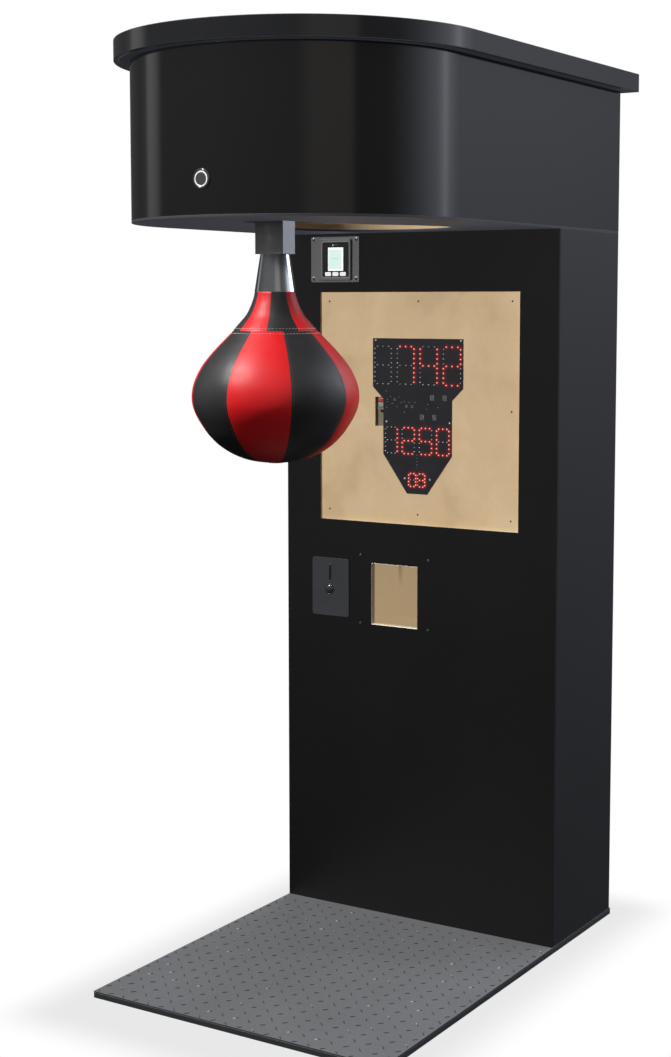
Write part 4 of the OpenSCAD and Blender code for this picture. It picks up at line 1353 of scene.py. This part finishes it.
def display_parts():
    """Chips with their legs and small parts with tinned ends, in the places of the CAD's blocks."""
    b = Builder()
    for lo, hi in islands("display_components"):
        w, h = hi.x - lo.x, hi.z - lo.z
        top, seat = lo.y, hi.y
        if max(w, h) > 0.0052:
            inset = 0.16
            tall = h >= w
            x0, x1 = (lo.x + w * inset, hi.x - w * inset) if tall else (lo.x, hi.x)
            z0, z1 = (lo.z, hi.z) if tall else (lo.z + h * inset, hi.z - h * inset)
            b.box((x0, top, z0), (x1, seat - 0.0001, z1), 0)
            r, dot = 0.0004, Vector((x0 + 0.0009, top, z1 - 0.0009))
            v, f = lathe([(r, -0.0002), (r, 0.00004), (r * 0.7, 0.00005)], 12, dot, axis="-Y")
            b.add(v, f, 2)
            length = (z1 - z0) if tall else (x1 - x0)
            legs = max(3, int(length / 0.00127))
            for k in range(legs):
                t = (k + 0.5) / legs
                for side in (0, 1):
                    if tall:
                        z = z0 + (z1 - z0) * t
                        a, c = (lo.x, x0) if side == 0 else (x1, hi.x)
                        b.box((a, seat - 0.0005, z - 0.0002), (c, seat, z + 0.0002), 1)
                    else:
                        x = x0 + (x1 - x0) * t
                        a, c = (lo.z, z0) if side == 0 else (z1, hi.z)
                        b.box((x - 0.0002, seat - 0.0005, a), (x + 0.0002, seat, c), 1)
        else:
            wide = w >= h
            k = 0.26
            if wide:
                b.box((lo.x, top, lo.z), (lo.x + w * k, seat, hi.z), 1)
                b.box((lo.x + w * k, top + 0.0001, lo.z), (hi.x - w * k, seat, hi.z), 0)
                b.box((hi.x - w * k, top, lo.z), (hi.x, seat, hi.z), 1)
            else:
                b.box((lo.x, top, lo.z), (hi.x, seat, lo.z + h * k), 1)
                b.box((lo.x, top + 0.0001, lo.z + h * k), (hi.x, seat, hi.z - h * k), 0)
                b.box((lo.x, top, hi.z - h * k), (hi.x, seat, hi.z), 1)
    o = b.object("display_chips", smooth=False)
    dress(o, "chip_black", "screw_white", "screw_zinc")
    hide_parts("display_components")
    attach(o, "cabinet")


display_parts()


# ------------------------------------------------------------------ card reader, coin entry, bay
def reader_details():
    b = Builder()
    outer = rounded_outline(-253.3, 1534.5, -173.7, 1621.7, 6.5)
    inner = rounded_outline(-250.4, 1537.4, -176.6, 1618.8, 4.2)
    front_plate(b, outer, -12.9, -13.8, 0, 0.3, inner)
    for x0, x1 in ((-242.6, -226.2), (-222.2, -205.7), (-201.6, -185.0)):
        front_plate(b, rounded_outline(x0, 1539.9, x1, 1549.1, 1.9), -13.1, -13.45, 1, 0.12)
    front_plate(b, rounded_outline(-232.9, 1555.9, -197.0, 1601.7, 0.6), -12.95, -13.2, 2, 0.08)
    for x in (-221.0, -215.0, -209.0):
        front_plate(b, rounded_outline(x - 1.5, 1579.0, x + 1.5, 1582.0, 1.49), -13.15, -13.32, 4, 0.05)
    front_plate(b, rounded_outline(-218.6, 1612.0, -207.2, 1613.6, 0.79), -13.1, -13.35, 5, 0.08)
    front_plate(b, rounded_outline(-222.6, 1610.6, -219.8, 1613.4, 1.39), -13.1, -13.5, 3, 0.2)
    o = b.object("reader_details", sharp_deg=40)
    dress(o, "reader_rim", "reader_tile", "reader_screen", "reader_tile", "indicator", "reader_side")
    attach(o, "cabinet")


reader_details()
NODES["reader_screen"].data.materials[0] = M["screen_border"]


def coin_details():
    lo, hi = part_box("coin_return_button")
    cx, cz = (lo.x + hi.x) / 2, (lo.z + hi.z) / 2
    seat = Vector((cx, hi.y, cz))
    rings = [(10.6, 0.0), (11, 0.4), (11, 16.4), (10.85, 17.3), (10.2, 18.4), (8.8, 19.5), (6.6, 20.3), (4.0, 20.8), (1.4, 20.98)]
    v, f = lathe([(r * MM, h * MM) for r, h in rings], 56, seat, axis="-Y")
    b = Builder()
    b.add(v, f)
    dome = b.object("return_button_dome", sharp_deg=50)
    dress(dome, "dome_chrome")
    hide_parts("coin_return_button")
    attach(dome, "coin_return")
    b = Builder()
    at = Vector((cx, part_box("front_skin")[0].y - 0.0024, cz))
    rings = [(13.1, 0.0), (13.1, 0.5), (12.9, 0.9), (12.5, 1.1), (12.0, 1.0), (11.7, 0.7), (11.55, 0.0)]
    v, f = lathe([(r * MM, h * MM) for r, h in rings], 64, at, axis="-Y", close_top=False, close_bottom=False)
    f += [(k, (k + 1) % 64, 6 * 64 + (k + 1) % 64, 6 * 64 + k) for k in range(64)]
    b.add(v, f, 0)
    for x in (-267, -205):
        at = P(x, -2.4, 735)
        rings = [(2.2, 0.0), (2.2, 0.3), (2.0, 0.6), (1.4, 0.9), (0.6, 1.0)]
        v, f = lathe([(r * MM, h * MM) for r, h in rings], 28, at, axis="-Y")
        b.add(v, f, 1)
    o = b.object("coin_plate_fittings", sharp_deg=45)
    dress(o, "dome_chrome", "coin_steel")
    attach(o, "cabinet")


coin_details()


def start_bezel():
    """Rounded dark-chrome ring round the start button."""
    lo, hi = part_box("start_button_ring")
    at = Vector(((lo.x + hi.x) / 2, lo.y + 0.0034, (lo.z + hi.z) / 2))
    rings = [(19.5, 0.2), (19.6, 1.2), (19.2, 2.0), (18.4, 2.6), (17.5, 2.7), (16.7, 2.3), (16.2, 1.6), (15.3, 1.3), (15.2, 0.2)]
    v, f = lathe([(r * MM, h * MM) for r, h in rings], 80, at, axis="-Y", close_top=False, close_bottom=False)
    f += [(k, (k + 1) % 80, 8 * 80 + (k + 1) % 80, 8 * 80 + k) for k in range(80)]
    b = Builder()
    b.add(v, f)
    o = b.object("start_button_bezel", sharp_deg=50)
    dress(o, "start_chrome")
    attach(o, "cabinet")


start_bezel()


def bay_sill():
    b = Builder()
    b.box(P(-122.3, 0.4, 715.5), P(3.3, 6, 716.5), 0)
    b.box(P(-122.3, 0.4, 862.2), P(3.3, 1.6, 863.0), 0)
    b.box(P(-122.5, 0.4, 716.9), P(-121.3, 14, 862.9), 1)
    b.box(P(2.3, 0.4, 716.9), P(3.5, 14, 862.9), 1)
    o = b.object("bay_trim", bevel=0.0004)
    dress(o, "sill_white", "bay_jamb")
    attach(o, "cabinet")


bay_sill()


def board_fittings():
    """Dark discs in the pilot holes, painted shade, and what shows in the cable hole beside the score board."""
    b = Builder()
    rnd = random.Random(5)
    for x in (-242.8, 0, 242.8):
        for z in (985, 1232.7, 1480.4):
            if x == 0 and z == 1232.7:
                continue
            rings = [(2.28, 0.0), (2.28, 3.0)]
            v, f = lathe([(r * MM, h * MM) for r, h in rings], 24, P(x, 9.4, z), axis="-Y")
            b.add(v, f, 0)
    o = b.object("pilot_bottoms", sharp_deg=40)
    dress(o, "hole_dark")
    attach(o, "cabinet")
    b = Builder()
    b.box(P(-111.5, 14.6, 1227.5), P(-86, 20.0, 1243.5), 0)
    for k in range(9):
        x = -110.2 + k * 2.7
        b.box(P(x, 14.1, 1229.5), P(x + 1.3, 14.8, 1236.0), 1)
        b.box(P(x + 0.3, 13.9, 1238.2), P(x + 1.0, 14.8, 1241.6), 2)
    b.box(P(-112.5, 14.8, 1244.6), P(-86, 20.0, 1249.8), 3)
    v, f = lathe([(2.0 * MM, -0.110), (2.0 * MM, -0.086)], 16, P(0, 17.2, 1251.6), axis="X")
    b.add(v, f, 3)
    o = b.object("cable_hole_connector", bevel=0.0003)
    dress(o, "nylon", "gasket", "screw_zinc", "wire_red")
    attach(o, "cabinet")


board_fittings()


# ------------------------------------------------------------------ stage and light
def ground_material():
    """White studio floor with the soft shade that lies round the base plate."""
    mat = bpy.data.materials.new("studio_floor")
    mat.use_nodes = True
    t = mat.node_tree
    t.nodes.clear()
    out = t.nodes.new("ShaderNodeOutputMaterial")
    em = t.nodes.new("ShaderNodeEmission")
    tc = t.nodes.new("ShaderNodeTexCoord")
    sep = t.nodes.new("ShaderNodeSeparateXYZ")
    t.links.new(tc.outputs["Object"], sep.inputs[0])

    def m(op, a, b=None):
        n = t.nodes.new("ShaderNodeMath")
        n.operation = op
        for i, x in enumerate((a, b)):
            if x is None:
                continue
            if isinstance(x, (int, float)):
                n.inputs[i].default_value = x
            else:
                t.links.new(x, n.inputs[i])
        return n.outputs[0]

    def side(value, centre, half):
        d = m("SUBTRACT", m("ABSOLUTE", m("SUBTRACT", value, centre)), half)
        n = t.nodes.new("ShaderNodeMapRange")
        n.interpolation_type = "SMOOTHSTEP"
        t.links.new(d, n.inputs["Value"])
        n.inputs["From Min"].default_value = -0.078
        n.inputs["From Max"].default_value = 0.078
        n.inputs["To Min"].default_value = 1
        n.inputs["To Max"].default_value = 0
        return n.outputs["Result"]

    shade = m(
        "MULTIPLY",
        side(sep.outputs["X"], 0.0025, 0.4505),
        side(sep.outputs["Y"], 0.0095, 0.6755),
    )
    mixer = t.nodes.new("ShaderNodeMix")
    mixer.data_type = "RGBA"
    t.links.new(shade, mixer.inputs[0])
    mixer.inputs[6].default_value = (1, 1, 1, 1)
    mixer.inputs[7].default_value = (0.807, 0.807, 0.812, 1)
    t.links.new(mixer.outputs[2], em.inputs["Color"])
    em.inputs["Strength"].default_value = 1.0
    t.links.new(em.outputs[0], out.inputs["Surface"])
    return mat


me = bpy.data.meshes.new("floor")
me.from_pydata([(-14, -14, -0.0006), (14, -14, -0.0006), (14, 14, -0.0006), (-14, 14, -0.0006)], [], [(0, 1, 2, 3)])
floor = new_object("floor", me)
me.materials.append(ground_material())
floor.visible_diffuse = False
floor.visible_glossy = False
floor.visible_transmission = False
floor.visible_shadow = False

world = bpy.data.worlds.new("studio")
scene.world = world
world.use_nodes = True
wt = world.node_tree
wt.nodes.clear()
w_out = wt.nodes.new("ShaderNodeOutputWorld")
w_tc = wt.nodes.new("ShaderNodeTexCoord")
w_sep = wt.nodes.new("ShaderNodeSeparateXYZ")
wt.links.new(w_tc.outputs["Generated"], w_sep.inputs[0])


def w_math(op, a, b=None):
    n = wt.nodes.new("ShaderNodeMath")
    n.operation = op
    for i, x in enumerate((a, b)):
        if x is None:
            continue
        if isinstance(x, (int, float)):
            n.inputs[i].default_value = x
        else:
            wt.links.new(x, n.inputs[i])
    return n.outputs[0]


def w_ramp(value, stops, mode="LINEAR"):
    n = wt.nodes.new("ShaderNodeValToRGB")
    n.color_ramp.interpolation = mode
    el = n.color_ramp.elements
    while len(el) < len(stops):
        el.new(0.5)
    for e, (p, c) in zip(el, stops):
        e.position = p
        e.color = (*c, 1)
    wt.links.new(value, n.inputs["Fac"])
    return n.outputs["Color"]


azimuth = w_math("ARCTAN2", w_sep.outputs["Y"], w_sep.outputs["X"])
az01 = w_math("ADD", w_math("DIVIDE", azimuth, 2 * math.pi), 0.5)
el01 = w_math("ADD", w_math("DIVIDE", w_math("ARCSINE", w_sep.outputs["Z"]), math.pi), 0.5)


def at_az(deg):
    return (deg + 180) / 360


def at_el(deg):
    return (deg + 90) / 180


COOL, WARM, GREY = (0.93, 0.97, 1.10), (1.05, 0.99, 0.93), (1.0, 1.0, 1.0)


def lum(x, tint=GREY):
    return tuple(x * c for c in tint)


around = w_ramp(
    az01,
    [
        (0.0, lum(0.58)),
        (at_az(-175), lum(0.70)),
        (at_az(-169), lum(0.60)),
        (at_az(-163), lum(0.13)),
        (at_az(-150), lum(0.17)),
        (at_az(-120), lum(0.24)),
        (at_az(-62), lum(0.24)),
        (at_az(-52), lum(0.44, WARM)),
        (at_az(-28), lum(0.44, WARM)),
        (at_az(-24), lum(0.17)),
        (at_az(-1), lum(0.19)),
        (at_az(12), lum(0.45, COOL)),
        (at_az(24), lum(0.80, COOL)),
        (at_az(30), lum(1.0, COOL)),
        (at_az(37), lum(1.15, COOL)),
        (at_az(42), lum(1.6, COOL)),
        (at_az(45), lum(2.1, COOL)),
        (at_az(48), lum(1.4, COOL)),
        (at_az(52), lum(0.95, COOL)),
        (at_az(57), lum(0.72, COOL)),
        (at_az(61), lum(0.52, COOL)),
        (at_az(64), lum(0.46, COOL)),
        (at_az(67), lum(0.33, COOL)),
        (at_az(73), lum(0.22, COOL)),
        (at_az(112), lum(0.22, COOL)),
        (at_az(130), lum(0.14)),
        (at_az(142), lum(0.08)),
        (at_az(168), lum(0.08)),
        (at_az(177), lum(0.16)),
        (1.0, lum(0.58)),
    ],
)
height = w_ramp(
    el01,
    [
        (0.0, lum(0.07)),
        (at_el(-30), lum(0.09)),
        (at_el(-18), lum(0.17)),
        (at_el(-7), lum(0.37)),
        (at_el(0), lum(0.74)),
        (at_el(6), lum(1.0)),
        (at_el(35), lum(1.25)),
        (1.0, lum(1.6)),
    ],
)


def w_step(value, a, b):
    n = wt.nodes.new("ShaderNodeMapRange")
    n.interpolation_type = "SMOOTHSTEP"
    wt.links.new(value, n.inputs["Value"])
    n.inputs["From Min"].default_value = a
    n.inputs["From Max"].default_value = b
    return n.outputs["Result"]


def soft_box(az0, az1, el0, el1, edge_az, edge_el):
    """1 inside the window of directions, 0 outside, with soft edges."""
    a = w_math("MULTIPLY", w_step(az01, at_az(az0), at_az(az0 + edge_az)), w_step(az01, at_az(az1), at_az(az1 - edge_az)))
    e = w_math("MULTIPLY", w_step(el01, at_el(el0), at_el(el0 + edge_el)), w_step(el01, at_el(el1), at_el(el1 - edge_el)))
    return w_math("MULTIPLY", a, e)


w_mul = wt.nodes.new("ShaderNodeMix")
w_mul.data_type = "RGBA"
w_mul.blend_type = "MULTIPLY"
w_mul.inputs[0].default_value = 1
wt.links.new(around, w_mul.inputs[6])
wt.links.new(height, w_mul.inputs[7])
w_room = wt.nodes.new("ShaderNodeBackground")


def w_over(under, fac, tone):
    n = wt.nodes.new("ShaderNodeMix")
    n.data_type = "RGBA"
    wt.links.new(fac, n.inputs[0])
    wt.links.new(under, n.inputs[6])
    n.inputs[7].default_value = (*tone, 1)
    return n.outputs[2]


lit = w_over(w_mul.outputs[2], soft_box(18, 112, 9, 50, 4, 6), lum(1.85, COOL))
wt.links.new(lit, w_room.inputs["Color"])
w_room.inputs["Strength"].default_value = 1.0
w_back = wt.nodes.new("ShaderNodeBackground")
w_back.inputs["Color"].default_value = (1, 1, 1, 1)
w_path = wt.nodes.new("ShaderNodeLightPath")
w_mix = wt.nodes.new("ShaderNodeMixShader")
wt.links.new(w_path.outputs["Is Camera Ray"], w_mix.inputs[0])
wt.links.new(w_room.outputs[0], w_mix.inputs[1])
wt.links.new(w_back.outputs[0], w_mix.inputs[2])
wt.links.new(w_mix.outputs[0], w_out.inputs["Surface"])


def sun(name, az, el, strength, angle, color=(1, 1, 1), spec=1.0):
    d = bpy.data.lights.new(name, "SUN")
    d.energy = strength
    d.angle = math.radians(angle)
    d.color = color
    d.specular_factor = spec
    o = bpy.data.objects.new(name, d)
    a, e = math.radians(az), math.radians(el)
    to = Vector((math.cos(e) * math.cos(a), math.cos(e) * math.sin(a), math.sin(e)))
    o.rotation_euler = to.to_track_quat("Z", "Y").to_euler()
    scene.collection.objects.link(o)
    return o


key = sun("key", -130, 48, 4.0, 5)

# The head doesn't cast the key light's shadow on the bag and the front.
clear = bpy.data.collections.new("key_passes")
for o in bpy.data.objects:
    if o.type == "MESH" and any(
        w in o.name for w in (
            "head_", "top_", "arm_tube", "bag_ferrule", "frame", "bearing", "latch", "solenoid",
            "front_skin", "front_board", "prize_bay", "reader", "score_", "display_chips", "coin_plate",
            "panel_fasteners", "return_button", "bay_trim", "start_",
        )
    ):
        clear.objects.link(o)
key.light_linking.blocker_collection = clear
for item in clear.collection_objects:
    item.light_linking.link_state = "EXCLUDE"



def pick_objects(name, words):
    c = bpy.data.collections.new(name)
    for o in bpy.data.objects:
        if o.type == "MESH" and any(w in o.name for w in words):
            c.objects.link(o)
    return c


def only_on(light, words):
    """The light falls on the named pieces alone, and nothing else shades it."""
    light.light_linking.receiver_collection = pick_objects(light.name + "_on", words)
    others = bpy.data.collections.new(light.name + "_passes")
    for o in bpy.data.objects:
        if o.type == "MESH" and not any(w in o.name for w in words):
            others.objects.link(o)
    light.light_linking.blocker_collection = others
    for item in others.collection_objects:
        item.light_linking.link_state = "EXCLUDE"


# Broad soft lights from behind on the right, for the sheen on the arm, the ferrule and the bag.
# The first one shows the back of the machine too.
only_on(
    sun("sheen_metal", 62, 15, 1.9, 34, COOL),
    ("arm_tube", "bag_ferrule", "rear_", "head_back", "hinge", "door_lock", "power_"),
)
only_on(sun("sheen_bag", 66, 22, 0.38, 34, COOL), ("punch_bag",))

# What the pale floor sends up to the faces that look down.
only_on(sun("floor_bounce", 0, -86, 1.5, 70, COOL), ("head_bottom_skin", "top_board", "top_cap"))

# The bag throws no shadow on the black facing: that has the key light's twin to itself.
only_on(sun("key_front", -130, 48, 4.0, 5), ("front_skin",))

# The bay is lit by the room alone, besides the painted glow of its lining.
unlit = bpy.data.collections.new("key_misses")
unlit.objects.link(bpy.data.objects["eased_prize_bay"])
for o in bpy.data.objects:
    if o.type == "MESH" and "front_skin" in o.name:
        unlit.objects.link(o)
key.light_linking.receiver_collection = unlit
for item in unlit.collection_objects:
    item.light_linking.link_state = "EXCLUDE"

# Lamps, tiles and screen are seen to glow, but light nothing that the suns and the room don't.
for m in M.values():
    m.cycles.emission_sampling = "NONE"

# The polished wall mirrors the room right up to the cap, without a dark line under the overhang.
for o in bpy.data.objects:
    if o.type == "MESH" and "top_cap" in o.name:
        o.visible_glossy = False
